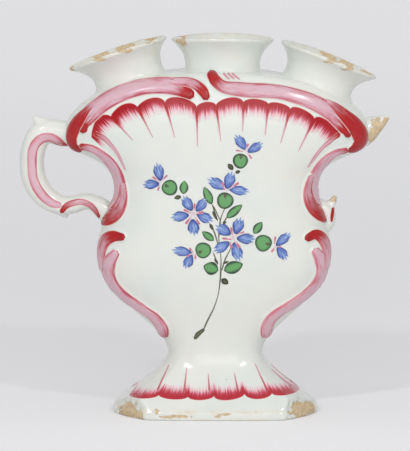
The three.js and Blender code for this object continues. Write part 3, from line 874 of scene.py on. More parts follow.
class Paint:
    """Thin films of enamel laid on a surface: each film is a grid bent to a stroke, petal, leaf or lobe."""

    LIFT = 0.11
    LAYER_LIFT = 0.035
    PETAL_LIFT = 0.075
    LEAF_LIFT = 0.02
    BUD_LIFT = 0.04
    LOBE_STEP = 0.7
    PETAL_WIDTHS = ((0, 0.15, 0.4, 0.65, 0.85, 1), (0.22, 0.66, 1.08, 1.22, 1.14, 0.98))

    def __init__(self, lay: Layer, side: Side = Side.FRONT) -> None:
        """Start an empty layer of paint.

        Args:
            lay: puts picture-plane points on the front surface, at a lift in mm.
            side: the face of the vase that gets the paint.
        """
        self.lay = lay
        self.side = side
        self.bm = bmesh.new()
        self.layers = {name: self.bm.verts.layers.float.new(name) for name in ("across", "along", "tone")}

    def film(self, columns: int, rows: int, shape: Film, lift: float, sink: float = 0.0) -> None:
        """Add one film.

        Args:
            columns: faces along the film.
            rows: faces across it.
            shape: gives x, z, along, across and tone for shares from 0 to 1 both ways.
            lift: distance off the surface in mm.
            sink: how far the film's last row goes down into the surface.
        """
        marks: dict[str, Array] = {}

        def place(u: Array, v: Array) -> Array:
            """Lay the film on the surface and note its brush marks.

            Args:
                u: shares along the film.
                v: shares across it.

            Returns:
                The film's points, in mm.
            """
            x, z, *parts = (np.broadcast_to(part, u.shape).astype(float) for part in shape(u, v))
            marks.update(zip(("along", "across", "tone"), parts))
            spots = self.lay(x, z, self.LIFT + lift - sink * v**8)
            spots[:, 1] *= -self.side.value
            return spots

        before = len(self.bm.faces)
        made = reshape_grid(self.bm, columns, rows, place)
        for name, values in marks.items():
            for vertex, value in zip(made, values):
                vertex[self.layers[name]] = value
        self.bm.faces.ensure_lookup_table()
        faces = self.bm.faces[before:]
        self.bm.normal_update()
        if sum(face.normal.y * face.calc_area() for face in faces) * self.side.value < 0:
            bmesh.ops.reverse_faces(self.bm, faces=faces)

    def stroke(self, stroke: Stroke, margin: float = 0.35, rows: int = 10, spacing: float = 0.9) -> None:
        """Add a brush stroke with round ends.

        Args:
            stroke: the stroke.
            margin: breadth in mm that it gets over its own at each edge.
            rows: faces across it.
            spacing: length of its faces in mm.
        """
        run = catmull(stroke.points, spacing)
        walked, way = walk(run), headings(run)
        length = walked[-1]
        first, last = run[0, 2] + margin, run[-1, 2] + margin

        def shape(u: Array, v: Array) -> tuple:
            """Bend the grid to the stroke.

            Args:
                u: shares along the stroke.
                v: shares across it.

            Returns:
                Places, way along, way across and tone.
            """
            at = -first + u * (length + first + last)
            inside = np.clip(at, 0, length)
            x, z, half, wx, wz = (np.interp(inside, walked, part) for part in (*run.T[:3], *way.T))
            over = at - inside
            cap = np.sqrt(np.clip(1 - (over / np.where(over < 0, first, last)) ** 2, 0, 1))
            part = 2 * v - 1
            tone = stroke.middle
            for dark, away in ((stroke.start, at), (stroke.end, length - at)):
                tone = tone + (dark - stroke.middle) * np.exp(-np.clip(away, 0, None) / stroke.reach)
            rim = 1 - (1 - np.abs(part)) * cap
            capped = (cap < 0.999) & ~((over < 0) & stroke.grows)
            across = np.where(capped, np.sign(part + 1e-9) * np.maximum(np.abs(part), rim), part)
            return (*beside((x, z), (wx, wz), over, part * (half + margin) * cap), at, across, tone)

        columns = max(8, int((length + first + last) / spacing))
        self.film(columns, rows, shape, self.LAYER_LIFT * stroke.layer)

    def lobe(self, top: Points, ways: Sequence[Array], depth: float, tone: float, start: float) -> None:
        """Add a scallop of a combed border.

        Args:
            top: points along the lobe's crisp edge.
            ways: the comb's direction at the lobe's two ends.
            depth: how far the comb reaches.
            tone: how heavy the colour is.
            start: place of the lobe along the border, which sets its comb apart.
        """
        run = catmull(top, self.LOBE_STEP)
        walked = walk(run)

        def shape(u: Array, v: Array) -> tuple:
            """Hang the grid from the edge along the comb.

            Args:
                u: shares along the edge.
                v: shares of the comb's reach.

            Returns:
                Places, way along, way across and tone.
            """
            at = u * walked[-1]
            x, z = (np.interp(at, walked, run[:, k]) for k in (0, 1))
            wx, wz = (ways[0][k] * (1 - u) + ways[1][k] * u for k in (0, 1))
            reach = depth * v / np.hypot(wx, wz)
            heavy = tone + 0.5 * np.exp(-np.minimum(at, walked[-1] - at) / 1.2)
            return x + wx * reach, z + wz * reach, start + at, v, heavy

        self.film(max(10, int(walked[-1] / self.LOBE_STEP)), 18, shape, 0.0, 0.3)

    def petal(self, base: Points, tip: Points, half: float, seed: float) -> None:
        """Add a cornflower petal with a toothed tip.

        Args:
            base: place where it grows.
            tip: place of its tip.
            half: half its breadth in mm.
            seed: from 0 to 1, sets it apart from the others.
        """
        start = between(base, tip, -0.14)
        length = math.dist(start, tip)
        way = np.subtract(tip, start) / length

        def shape(u: Array, v: Array) -> tuple:
            """Bend the grid to the petal.

            Args:
                u: shares along the petal.
                v: shares across it.

            Returns:
                Places, way along, way across and tone.
            """
            part = 2 * v - 1
            gaps = np.abs(((v * 3.0) % 1.0) - 0.5) * 2
            teeth = u**4 * (0.13 - 0.24 * gaps - 0.2 * np.abs(part + 0.3 * seed - 0.15))
            reach = length * (u * 0.98 + teeth)
            dark = np.exp(-reach / 1.5) * 1.15 + gaps**2 * u**2 * 0.55 + 0.95 * np.abs(part) ** 3
            off = part * half * np.interp(u, *self.PETAL_WIDTHS)
            return (*beside(start, way, reach, off), reach + seed * 40, part * 1.6, np.clip(dark, 0, 1))

        self.film(12, 24, shape, self.PETAL_LIFT)

    def leaf(self, base: Points, tip: Points, half: float, seed: float) -> None:
        """Add a pointed leaf.

        Args:
            base: place where it grows.
            tip: place of its tip.
            half: half its breadth in mm.
            seed: sets its streaks apart from the others'.
        """
        length = math.dist(base, tip)
        way = np.subtract(tip, base) / length

        def shape(u: Array, v: Array) -> tuple:
            """Bend the grid to the leaf.

            Args:
                u: shares along the leaf.
                v: shares across it.

            Returns:
                Places, way along, way across and tone.
            """
            part = 2 * v - 1
            width = half * np.sin(math.pi * u.clip(0.0, 1.0) ** 0.9) ** 0.75
            rim = np.maximum(np.abs(part), np.abs(2 * u - 1) ** 3) ** 0.4
            return (*beside(base, way, length * u, part * width), u * length, rim, seed)

        self.film(12, 8, shape, self.LEAF_LIFT)

    def bud(self, middle: Points, radius: float, seed: float) -> None:
        """Add a round bud.

        Args:
            middle: its place.
            radius: its size in mm.
            seed: sets its outline and streaks apart from the others'.
        """
        def shape(u: Array, v: Array) -> tuple:
            """Bend the grid to a disc that is a little uneven.

            Args:
                u: shares round the bud.
                v: shares out from its middle.

            Returns:
                Places, way along, way across and tone.
            """
            turn = 2 * math.pi * u
            reach = radius * v * (1 + 0.03 * np.sin(3 * turn + seed))
            x, z = middle[0] + reach * np.cos(turn), middle[1] + reach * np.sin(turn)
            return x, z, turn * radius / 3, v, seed

        self.film(26, 6, shape, self.BUD_LIFT)

    def finish(self) -> Mesh:
        """Close the films' poles and give the mesh."""
        bmesh.ops.remove_doubles(self.bm, verts=self.bm.verts, dist=WELD)
        return self.bm


@dataclass(frozen=True)
class Workshop:
    """Puts meshes made in the vase's own millimetres into the frame as pieces."""

    axis: float
    body: str = "root"

    def finish(self, bm: Mesh, name: str, material: Material, slot: str, replaces: Sequence[str] = (),
               wall: float = 0.0) -> bpy.types.Object:
        """Make a piece of a mesh.

        Args:
            bm: the mesh, in mm from the foot's middle; it is freed.
            name: the piece's name.
            material: its material.
            slot: the record's slot that its finish stands for; not used.
            replaces: CAD nodes that the piece stands for.
            wall: thickness in mm that an open sheet gets inwards.

        Returns:
            The piece.
        """
        for edge in bm.edges:
            if edge.is_boundary:
                edge.smooth = False
        for vertex in bm.verts:
            vertex.co = (vertex.co.x * MM + self.axis, vertex.co.y * MM, vertex.co.z * MM)
        piece = add_object(name, bm)
        piece.data.materials.append(material)
        if wall:
            solid = piece.modifiers.new("wall", "SOLIDIFY")
            solid.thickness = wall * MM
            solid.offset = -1
        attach(piece, self.body)
        if replaces:
            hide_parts(*replaces)
        LOG.info("%s: %d faces", name, len(piece.data.polygons))
        return piece


@dataclass(frozen=True)
class Body:
    """The two pressed halves of the body and the arched slab that closes them."""

    form: BodyForm
    neck_holes: tuple[float, ...]
    columns: int = 168
    rows: int = 158
    slab_rows: int = 40
    wall: float = 5.5
    hole_radius: float = 17.0
    hole_depth_ratio: float = 0.93

    def half(self, side: Side) -> Mesh:
        """Shape one half of the body.

        Args:
            side: which half.

        Returns:
            Its outer skin, in mm.
        """
        def place(u: Array, v: Array) -> Array:
            """Lay the grid on the moulded wall.

            Args:
                u: shares across the half.
                v: shares up it.

            Returns:
                The wall's points.
            """
            across = self.form.even_share(u if side is Side.FRONT else 1 - u)
            points = self.form.skin(4 * v, across)
            points[:, 1] = np.where(np.abs(across) > 0.9999, 0, points[:, 1] * -side.value)
            return points

        bm = bmesh.new()
        reshape_grid(bm, self.columns, self.rows, place)
        return bm

    def slab(self) -> Mesh:
        """Shape the top slab, open where the necks stand.

        Returns:
            Its upper skin, in mm.
        """
        form, top = self.form, np.array(4.0)
        width, depth = form.along(form.side, top)[0], form.along(form.front, top)[0]

        def place(u: Array, v: Array) -> Array:
            """Lay the grid on the arched top.

            Args:
                u: shares across the slab.
                v: shares from front to back.

            Returns:
                The slab's points.
            """
            share, over = form.even_share(u), 2 * v - 1
            z = form.arch(top, share) + form.crown * (1 - over**2) * (1 - np.abs(share) ** 6)
            y = depth * bulge(share, form.section_power) * over
            return np.stack([share * width + form.skew(z), y, z], -1)

        bm = bmesh.new()
        reshape_grid(bm, self.columns, self.slab_rows, place)
        bmesh.ops.remove_doubles(bm, verts=bm.verts, dist=WELD)
        holes = []
        for face in bm.faces:
            middle = face.calc_center_median()
            if min(math.hypot(middle.x - x, middle.y / self.hole_depth_ratio)
                   for x in self.neck_holes) < self.hole_radius:
                holes.append(face)
        bmesh.ops.delete(bm, geom=holes, context="FACES")
        return bm

    def build(self, shop: Workshop, glaze: Material) -> None:
        """Make the three pieces.

        Args:
            shop: makes the pieces.
            glaze: their material.
        """
        for mesh, name, slot, node in (
                (self.half(Side.FRONT), "front_wall", "painted_glaze", "front_shell"),
                (self.half(Side.BACK), "back_wall", "painted_glaze", "back_shell"),
                (self.slab(), "top_slab", "white_glaze", "shoulder_deck")):
            shop.finish(mesh, name, glaze, slot, [node], self.wall)


@dataclass(frozen=True)
class Chip:
    """A place where the edge broke away and the clay shows: middle, half sizes and depth in mm.

    Its rim is torn by noises of a part and a scale.
    """

    middle: tuple[float, float, float]
    size: tuple[float, float, float]
    depth: float
    tears: Points = ((0.55, 0.42), (0.25, 1.3))
    brim: float = 1.15
    slope: float = 0.8

    def amount(self, point: Vector) -> float:
        """Give how far inside the chip a point is.

        Args:
            point: the point, in mm.

        Returns:
            0 outside the chip's ragged rim, 1 well inside it.
        """
        away = math.sqrt(sum(((point[k] - self.middle[k]) / self.size[k]) ** 2 for k in range(3)))
        ragged = sum(part * noise.noise(Vector(point) * scale) for part, scale in self.tears)
        return max(0.0, min(1.0, (self.brim - away + ragged) / self.slope))


def wear(bm: Mesh, chips: Sequence[Chip], thin: Callable[[Vector], float],
         inward: Callable[[Vector], Vector]) -> None:
    """Break chips into a mesh and mark bare clay and thin glaze in vertex attributes.

    Args:
        bm: the mesh, in mm.
        chips: the chips.
        thin: gives how worn the glaze is at a point.
        inward: gives the direction in which the clay broke away at a point.
    """
    bare, worn = bm.verts.layers.float.new("bare"), bm.verts.layers.float.new("thin")
    for vertex in bm.verts:
        point = vertex.co.copy()
        amount, depth = max(((chip.amount(point), chip.depth) for chip in chips), default=(0.0, 0.0))
        vertex[bare] = amount
        vertex[worn] = thin(point)
        if amount > 0:
            rough = 0.75 + 0.5 * noise.noise(point * 1.1)
            vertex.co = point + inward(point) * (depth * rough * min(1.0, amount * 1.6))


@dataclass(frozen=True)
class Neck:
    """A trumpet neck, luted on the slab with a fillet: a throat, a rolled worn lip, a funnel and a bore."""

    name: str
    x: float
    lean: float
    height: float
    throat: float
    waist_shift: float
    chips: Sequence[Chip] = ()
    rim: float = 26.8
    bore: float = 13.2
    wall: float = 4.2
    throat_height: float = 3.0
    depth_ratio: float = 0.93
    wave: float = 1.2
    root: float = 19.4
    root_depth: float = 2.4
    lip_wear: float = 0.5
    chip_slant: float = 0.55
    skew_height: float = 170.0
    fillet: int = 8
    fillet_reach: float = 2.0
    fillet_bend: float = 0.5
    sides: int = 128

    def profile(self) -> list[tuple[float, float]]:
        """Give the outline from the fillet's top over the lip and down the bore.

        Returns:
            Radius and height of its points, in mm.
        """
        rise, top = self.height - self.throat_height, self.height
        lip = (self.rim - 0.3 * self.wall, top + 0.2)
        outside = cubic([(self.throat, self.throat_height), (self.throat, self.throat_height + 0.5 * rise),
                         (self.throat + 0.6 * (self.rim - self.throat), top - 0.26 * rise),
                         (self.rim, top - 1.1)], 16)
        roll = [(self.rim + 0.08, top - 0.6), (self.rim, top - 0.1), (self.rim - 0.3, top + 0.3),
                (self.rim - 0.8, top + 0.45), lip]
        funnel = cubic([lip, (lip[0] - self.wall, top - 2.1), (self.bore, self.throat_height + self.wall),
                        (self.bore, 0)], 14)
        foot = [(self.throat + 0.2, 1.5), (self.throat + 0.05, 2.2)]
        return foot + outside + roll + funnel + [(self.bore, -5), (self.bore, -11), (self.bore + 3, -11.5)]

    def local(self, foot: Vector, radius: float, height: float, turn: float) -> Vector:
        """Give a point of the neck's own round form.

        Args:
            foot: where its axis meets the slab.
            radius: distance off the axis.
            height: distance up the axis.
            turn: angle round it.

        Returns:
            The point in the vase, in mm.
        """
        tilt = math.radians(self.lean)
        x, y = radius * math.cos(turn), radius * math.sin(turn) * self.depth_ratio
        x += self.waist_shift * float(smooth(self.height, 5.0, height))
        height += self.wave * math.sin(turn) ** 2 * float(smooth(4.0, self.height, height))
        return foot + Vector((x * math.cos(tilt) + height * math.sin(tilt), y,
                              height * math.cos(tilt) - x * math.sin(tilt)))

    def seat(self, form: BodyForm, radius: float, turn: float, lift: float) -> Vector:
        """Give a point of the body's top around the neck.

        Args:
            form: the body.
            radius: distance off the neck's middle.
            turn: angle round it.
            lift: distance over the body's top.

        Returns:
            The point, in mm.
        """
        x = self.x + self.waist_shift + radius * math.cos(turn)
        y = radius * math.sin(turn) * self.depth_ratio
        return Vector((x + float(form.skew(self.skew_height)) * 0.3, y, form.top_height(x, y) + lift))

    def build(self, shop: Workshop, form: BodyForm, material: Material) -> None:
        """Make the neck on the body's top.

        Args:
            shop: makes the piece.
            form: the body.
            material: its material.
        """
        outline = self.profile()
        foot = Vector((self.x, 0, form.top_height(self.x, 0)))
        tilt = math.radians(self.lean)
        axis = Vector((math.sin(tilt), 0, math.cos(tilt)))
        rings = self.fillet + len(outline) + 1

        def place(u: Array, v: Array) -> Array:
            """Wrap the grid round the neck; its first and last ring lie hidden in the slab.

            Args:
                u: shares round the neck.
                v: shares from the fillet over the lip and down the bore.

            Returns:
                The neck's points.
            """
            spots = np.zeros((len(u), 3))
            for k, (across, up) in enumerate(zip(u, v)):
                turn = 2 * math.pi * across
                ring = int(round(up * rings))
                if ring in (0, rings):
                    spots[k] = self.seat(form, self.root, turn, -self.root_depth)
                elif ring <= self.fillet:
                    t = (ring - 1) / self.fillet
                    low = self.seat(form, self.throat + self.fillet_reach, turn, -0.1)
                    bend = self.seat(form, self.throat + self.fillet_bend, turn, 0.1)
                    high = self.local(foot, *outline[0], turn)
                    spots[k] = low * (1 - t) ** 2 + bend * 2 * t * (1 - t) + high * t * t
                else:
                    radius, height = outline[ring - self.fillet - 1]
                    wobble = 1 + 0.004 * math.sin(3 * turn + self.x) + 0.003 * math.sin(7 * turn)
                    spots[k] = self.local(foot, radius * wobble, height, turn)
            return spots

        def thin(point: Vector) -> float:
            """Give the wear of the lip."""
            up = (point - foot).dot(axis)
            return self.lip_wear * float(smooth(self.height - 0.8, self.height + 0.4, up))

        def inward(point: Vector) -> Vector:
            """Point down and to the neck's axis."""
            side = point - foot - axis * (point - foot).dot(axis)
            return (-axis - side.normalized() * self.chip_slant).normalized()

        bm = closed_grid(self.sides, rings, place)
        wear(bm, self.chips, thin, inward)
        shop.finish(bm, f"trumpet_{self.name}", material, "white_glaze", [f"neck_{self.name}"])


@dataclass(frozen=True)
class Foot:
    """Spreading eight-sided foot, hollow underneath, with broken front corners.

    Softening gives the steps round a ring, and their parts, over which its arrises are averaged; the
    worn edges are heights and spreads.
    """

    half_width: float = 53.8
    half_depth: float = 34.0
    corner: tuple[float, float] = (15.0, 27.0)
    ledge: tuple[float, float, float] = (45.8, 29.5, 10.5)
    flare_corner: tuple[float, float] = (5.0, 11.0)
    waist: tuple[float, float, float] = (25.0, 19.0, 33.5)
    wall: float = 6.5
    waist_wall: float = 8.8
    power: float = 2.8
    plan_square: float = 0.5
    slope_square: float = 0.51
    ledge_square: float = 0.75
    slope_foot: float = 4.8
    sides: int = 300
    side_marks: tuple[int, ...] = (0, 12, 46, 116, 150, 162, 196, 266, 300)
    softening: Points = ((-0.005, 0.25), (0, 0.5), (0.005, 0.25))
    worn_edges: Points = ((4.4, 0.9), (0.2, 0.8))
    chips: Sequence[Chip] = (
        Chip((-46.5, -21.0, 3.0), (11.5, 12.0, 6.6), 1.5),
        Chip((-40.0, -29.0, 1.8), (4.0, 3.6, 4.2), 1.0),
        Chip((45.8, -21.0, 3.8), (10.0, 12.0, 6.6), 1.7),
        Chip((51.0, -11.0, 3.6), (4.4, 7.0, 4.4), 1.2),
        Chip((-22.0, -33.6, 2.3), (11.5, 1.6, 1.0), 0.5),
        Chip((-30.5, -32.6, 5.4), (2.2, 2.0, 2.0), 0.3),
        Chip((6.0, -33.9, 3.6), (6.4, 1.4, 0.8), 0.4),
        Chip((1.5, -33.9, 2.4), (2.4, 1.2, 1.6), 0.3),
        Chip((42.0, 27.5, 2.0), (4.0, 4.0, 2.6), 0.9),
    )

    def ring(self, size: tuple[float, float], corner: tuple[float, float], square: float, z: float,
             around: Array) -> Array:
        """Give a ring of the foot between its eight-sided plan and the body's rounder section.

        Args:
            size: half width and half depth of the ring.
            corner: what its cut corners take off the width and the depth.
            square: 1 for the eight-sided plan, 0 for the round section.
            z: its height.
            around: shares round it.

        Returns:
            The ring's points, in mm.
        """
        (w, d), (cw, cd) = size, corner
        corners = np.array([(w, cd - d), (w, d - cd), (w - cw, d), (cw - w, d), (-w, d - cd), (-w, cd - d),
                            (cw - w, -d), (w - cw, -d), (w, cd - d)])
        marks = np.array(self.side_marks) / self.sides
        x, y = np.interp(around, marks, corners[:, 0]), np.interp(around, marks, corners[:, 1])
        reach = ((np.abs(x) / w) ** self.power + (np.abs(y) / d) ** self.power) ** (1 / self.power)
        blend = 1 - square
        return np.stack([x * (1 - blend) + x / reach * blend, y * (1 - blend) + y / reach * blend,
                         np.full_like(x, z)], -1)

    def flare(self, rise: float, wall: float) -> tuple:
        """Give a ring on the flare.

        Args:
            rise: share of the way up from the ledge to the waist.
            wall: how far inside the outer skin it lies, 0 for the outer skin itself.

        Returns:
            Its size, cut corner, squareness and height.
        """
        spread = (1 - rise) ** 2 * (1 + 0.6 * rise)
        inset = self.waist_wall if wall else 0
        width, depth = (top - inset + (low - wall - (top - inset)) * spread
                        for top, low in zip(self.waist[:2], self.ledge[:2]))
        share = width / self.ledge[0]
        height = self.ledge[2] + (self.waist[2] - self.ledge[2]) * rise
        cut = (self.flare_corner[0] * share, self.flare_corner[1] * share)
        return (width, depth), cut, self.ledge_square * (1 - rise), height

    def levels(self) -> list[tuple]:
        """Give the rings from the hollow's top down inside, under the rim and up outside to the waist.

        Returns:
            Size, cut corner, squareness and height of each ring.
        """
        inner = [self.flare(rise, self.wall) for rise in (1.0, 0.8, 0.6, 0.4, 0.2, 0.0)]
        w, d = self.half_width, self.half_depth
        rim = [((w - inset, d - inset), self.corner, self.plan_square, z) for inset, z in (
            (7.2, 3.0), (6.6, 0.5), (5.8, 0.0), (0.9, 0.0), (0.3, 0.25), (0.0, 0.9), (0.0, 1.6), (0.0, 2.3),
            (0.0, 3.0), (0.0, 3.6))]
        rim.append(((w - 0.15, d - 0.12), self.corner, self.plan_square, 4.1))
        brink = (w - 0.7, d - 0.45)
        slope = []
        for t in (0.0, 0.22, 0.4, 0.58, 0.74, 0.88, 0.96):
            square = self.slope_square + (self.ledge_square - self.slope_square) * t
            height = self.slope_foot + (self.ledge[2] - self.slope_foot) * t**0.9
            slope.append((between(brink, self.ledge, t), between(self.corner, self.flare_corner, t),
                          square, height))
        outer = [self.flare(rise, 0.0) for rise in np.linspace(0.03, 1.0, 26)]
        top = (self.waist[0] - 0.04, self.waist[1] - 0.04)
        return inner + rim + slope + outer + [(top, self.flare_corner, 0.0, self.waist[2] + 0.4)]

    def build(self, shop: Workshop, material: Material) -> BVHTree:
        """Make the foot.

        Args:
            shop: makes the piece.
            material: its material.

        Returns:
            The foot's surface, for the painters.
        """
        levels = self.levels()
        count = len(levels)

        def place(u: Array, v: Array) -> Array:
            """Wrap the grid round the foot with softened arrises; the last ring closes on the first.

            Args:
                u: shares round the foot.
                v: shares from ring to ring.

            Returns:
                The foot's points.
            """
            spots = np.zeros((len(u), 3))
            ring = np.rint(v * count).astype(int) % count
            for k, level in enumerate(levels):
                pick = ring == k
                spots[pick] = sum(self.ring(*level, (u[pick] + step) % 1) * part
                                  for step, part in self.softening)
            return spots

        def thin(point: Vector) -> float:
            """Give the wear of the plinth's edges."""
            near = sum(math.exp(-((point.z - z) / spread) ** 2) for z, spread in self.worn_edges)
            return min(1.0, near * (0.55 + 0.9 * noise.noise(point * 0.12)))

        def inward(point: Vector) -> Vector:
            """Point to the foot's middle and a little down."""
            return Vector((-point.x, -point.y, -8 if point.z > 2 else 0)).normalized()

        bm = closed_grid(self.sides, count, place)
        wear(bm, self.chips, thin, inward)
        tree = BVHTree.FromBMesh(bm)
        shop.finish(bm, "spreading_foot", material, "white_glaze", ["foot"])
        return tree


@dataclass(frozen=True)
class Bar:
    """A rolled scroll of clay: points (x, z, half breadth, half depth) in mm."""

    points: Points
    sides: int = 32
    spacing: float = 0.9
    power: float = 0.85

    def add(self, bm: Mesh) -> None:
        """Add the bar, closed at both ends.

        Args:
            bm: mesh that gets the bar.
        """
        run = catmull(self.points, self.spacing)
        way = headings(run)
        last = len(run) - 1

        def squared(value: Array) -> Array:
            """Make a round section a little squarer."""
            return np.sign(value) * np.abs(value) ** self.power

        def place(u: Array, v: Array) -> Array:
            """Wrap the grid round the bar; its end columns close to points.

            Args:
                u: shares along the bar.
                v: shares round it.

            Returns:
                The bar's points.
            """
            at = u * (last + 2) - 1
            index = np.clip(np.rint(at), 0, last).astype(int)
            open_part = (at > -0.5) & (at < last + 0.5)
            turn = 2 * math.pi * v
            x, z, breadth, depth = run[index].T
            out = breadth * squared(np.cos(turn)) * open_part
            return np.stack([x - way[index, 1] * out, depth * squared(np.sin(turn)) * open_part,
                             z + way[index, 0] * out], -1)

        made = reshape_grid(bm, last + 2, self.sides, place)
        bmesh.ops.remove_doubles(bm, verts=made, dist=WELD)


@dataclass(frozen=True)
class Scrolls:
    """Scroll pieces at the sides: bars fused into one soft skin, with breaks where clay shows."""

    name: str
    node: str
    bars: Sequence[Bar]
    broken: Sequence[Chip] = ()
    voxel: float = 0.55
    soft_rounds: int = 6

    def fused(self) -> Mesh:
        """Fuse the bars and soften where they meet.

        Returns:
            The skin, in mm.
        """
        bm = bmesh.new()
        for bar in self.bars:
            bar.add(bm)
        bmesh.ops.recalc_face_normals(bm, faces=bm.faces)
        raw = add_object("raw", bm)
        fuse = raw.modifiers.new("fuse", "REMESH")
        fuse.mode = "VOXEL"
        fuse.voxel_size = self.voxel
        soft = raw.modifiers.new("soft", "SMOOTH")
        soft.iterations = self.soft_rounds
        soft.factor = 0.5
        mesh = bpy.data.meshes.new_from_object(raw.evaluated_get(bpy.context.evaluated_depsgraph_get()))
        bpy.data.objects.remove(raw)
        made = bmesh.new()
        made.from_mesh(mesh)
        bpy.data.meshes.remove(mesh)
        return made

    def build(self, shop: Workshop, material: Material) -> BVHTree:
        """Make the piece.

        Args:
            shop: makes the piece.
            material: its material.

        Returns:
            The piece's surface, for the painters.
        """
        def thin(point: Vector) -> float:
            """Give no wear: only the breaks show clay."""
            return 0.0

        def inward(point: Vector) -> Vector:
            """Point across to the vase's middle."""
            return Vector((-math.copysign(1, point.x), 0, 0))

        bm = self.fused()
        wear(bm, self.broken, thin, inward)
        tree = BVHTree.FromBMesh(bm)
        shop.finish(bm, self.name, material, "painted_glaze", [self.node])
        return tree


# Necks by X, lean, height, throat and shift of the throat, with their chips; all in mm and degrees
NECKS = (
    Neck("left", -46.37, -18.2, 16.2, 18.4, 1.8, (
        Chip((-60.4, 21, 187.9), (7.0, 9, 3.6), 0.5), Chip((-60.4, -23, 188.6), (6.0, 5, 1.5), 0.5),
        Chip((-47.5, 22, 192.2), (8.2, 9, 3.8), 0.5), Chip((-47.5, -24, 193.0), (7.2, 5, 1.6), 0.5),
        Chip((-32.0, 18, 196.9), (7.4, 10, 2.6), 0.5), Chip((-32.0, -20, 197.2), (7.0, 6, 1.5), 0.5),
        Chip((-75.2, -3, 182.6), (4.0, 9, 2.4), 0.4))),
    Neck("middle", 3.7, 0.4, 17.0, 19.7, 0.0, (
        Chip((-18.2, -15, 197.2), (4.0, 8, 3.4), 0.6), Chip((-18.2, 16, 197.6), (4.0, 8, 2.6), 0.4))),
    Neck("right", 54.05, 21.2, 15.7, 18.6, -1.0, (
        Chip((60.4, 21, 187.4), (6.4, 9, 3.8), 0.5), Chip((60.4, -23, 188.0), (6.0, 5, 2.0), 0.5),
        Chip((70.0, 18, 183.9), (6.8, 10, 3.6), 0.6), Chip((70.0, -20, 184.2), (6.2, 6, 2.0), 0.6),
        Chip((79.2, 6, 179.9), (4.6, 14, 3.0), 0.6), Chip((45, 22, 193.4), (3.0, 5, 1.2), 0.3))),
)

# Scroll pieces by their bars (x, z, half breadth, half depth) in mm
HANDLE = Scrolls("scroll_handle", "handle_left", (
    Bar(((-70.5, 148.7, 7, 7.5), (-79.2, 147.6, 6.8, 7.2), (-87.1, 148.8, 6.6, 7), (-92.4, 147, 6.5, 7),
        (-95.3, 141.6, 6.5, 7), (-96.8, 134.2, 6.5, 7), (-96.3, 126, 6.5, 7), (-93.4, 118.6, 6.3, 7),
        (-88.3, 113, 5.9, 6.8), (-82, 109.9, 5.3, 6.6), (-75, 110.1, 4.8, 6.4), (-68.2, 111.8, 4.4, 6.4),
        (-61.6, 109.6, 4.8, 6.6), (-55.4, 104, 6, 7))),
    Bar(((-87.5, 150, 5, 5), (-91.8, 153, 3.8, 4), (-94.8, 155.7, 1.9, 2.4), (-96.4, 156.8, 0.5, 0.8))),
    Bar(((-83, 109, 4.4, 4.6), (-80.5, 105.8, 2.8, 3.4), (-78.5, 102.8, 0.6, 1)))))
UPPER_STUB = Scrolls("upper_stub", "handle_stub_upper_right", (
    Bar(((68, 146, 8, 7.4), (75.5, 147.6, 7.6, 7.2), (79.6, 149.6, 6.9, 6.6), (83, 151.8, 5.5, 5.4),
        (86.4, 153.8, 3.9, 4.2), (89.4, 155.8, 2.2, 2.6), (91.2, 157.2, 0.9, 1.2))),),
    (Chip((87.6, -2.5, 150.4), (8.6, 11.0, 7.4), 0.3), Chip((82.4, -4.0, 145.6), (3.4, 6.0, 4.4), 0.3)))
LOWER_STUB = Scrolls("lower_stub", "handle_stub_lower_right", (
    Bar(((50, 112.4, 3.0, 5), (55.6, 109.4, 3.8, 6.2), (59, 105.4, 4.3, 6.6), (58.6, 100.6, 4.3, 6.4),
        (54.6, 95.6, 3.8, 5.6))),
    Bar(((58.4, 107.2, 3.3, 4.6), (60.8, 110.3, 2.8, 3.8), (62.8, 113.4, 1.5, 2.2),
        (63.6, 114.8, 0.7, 1.2)))),
    (Chip((63.2, 0.0, 113.0), (3.0, 4.6, 3.2), 0.3),))

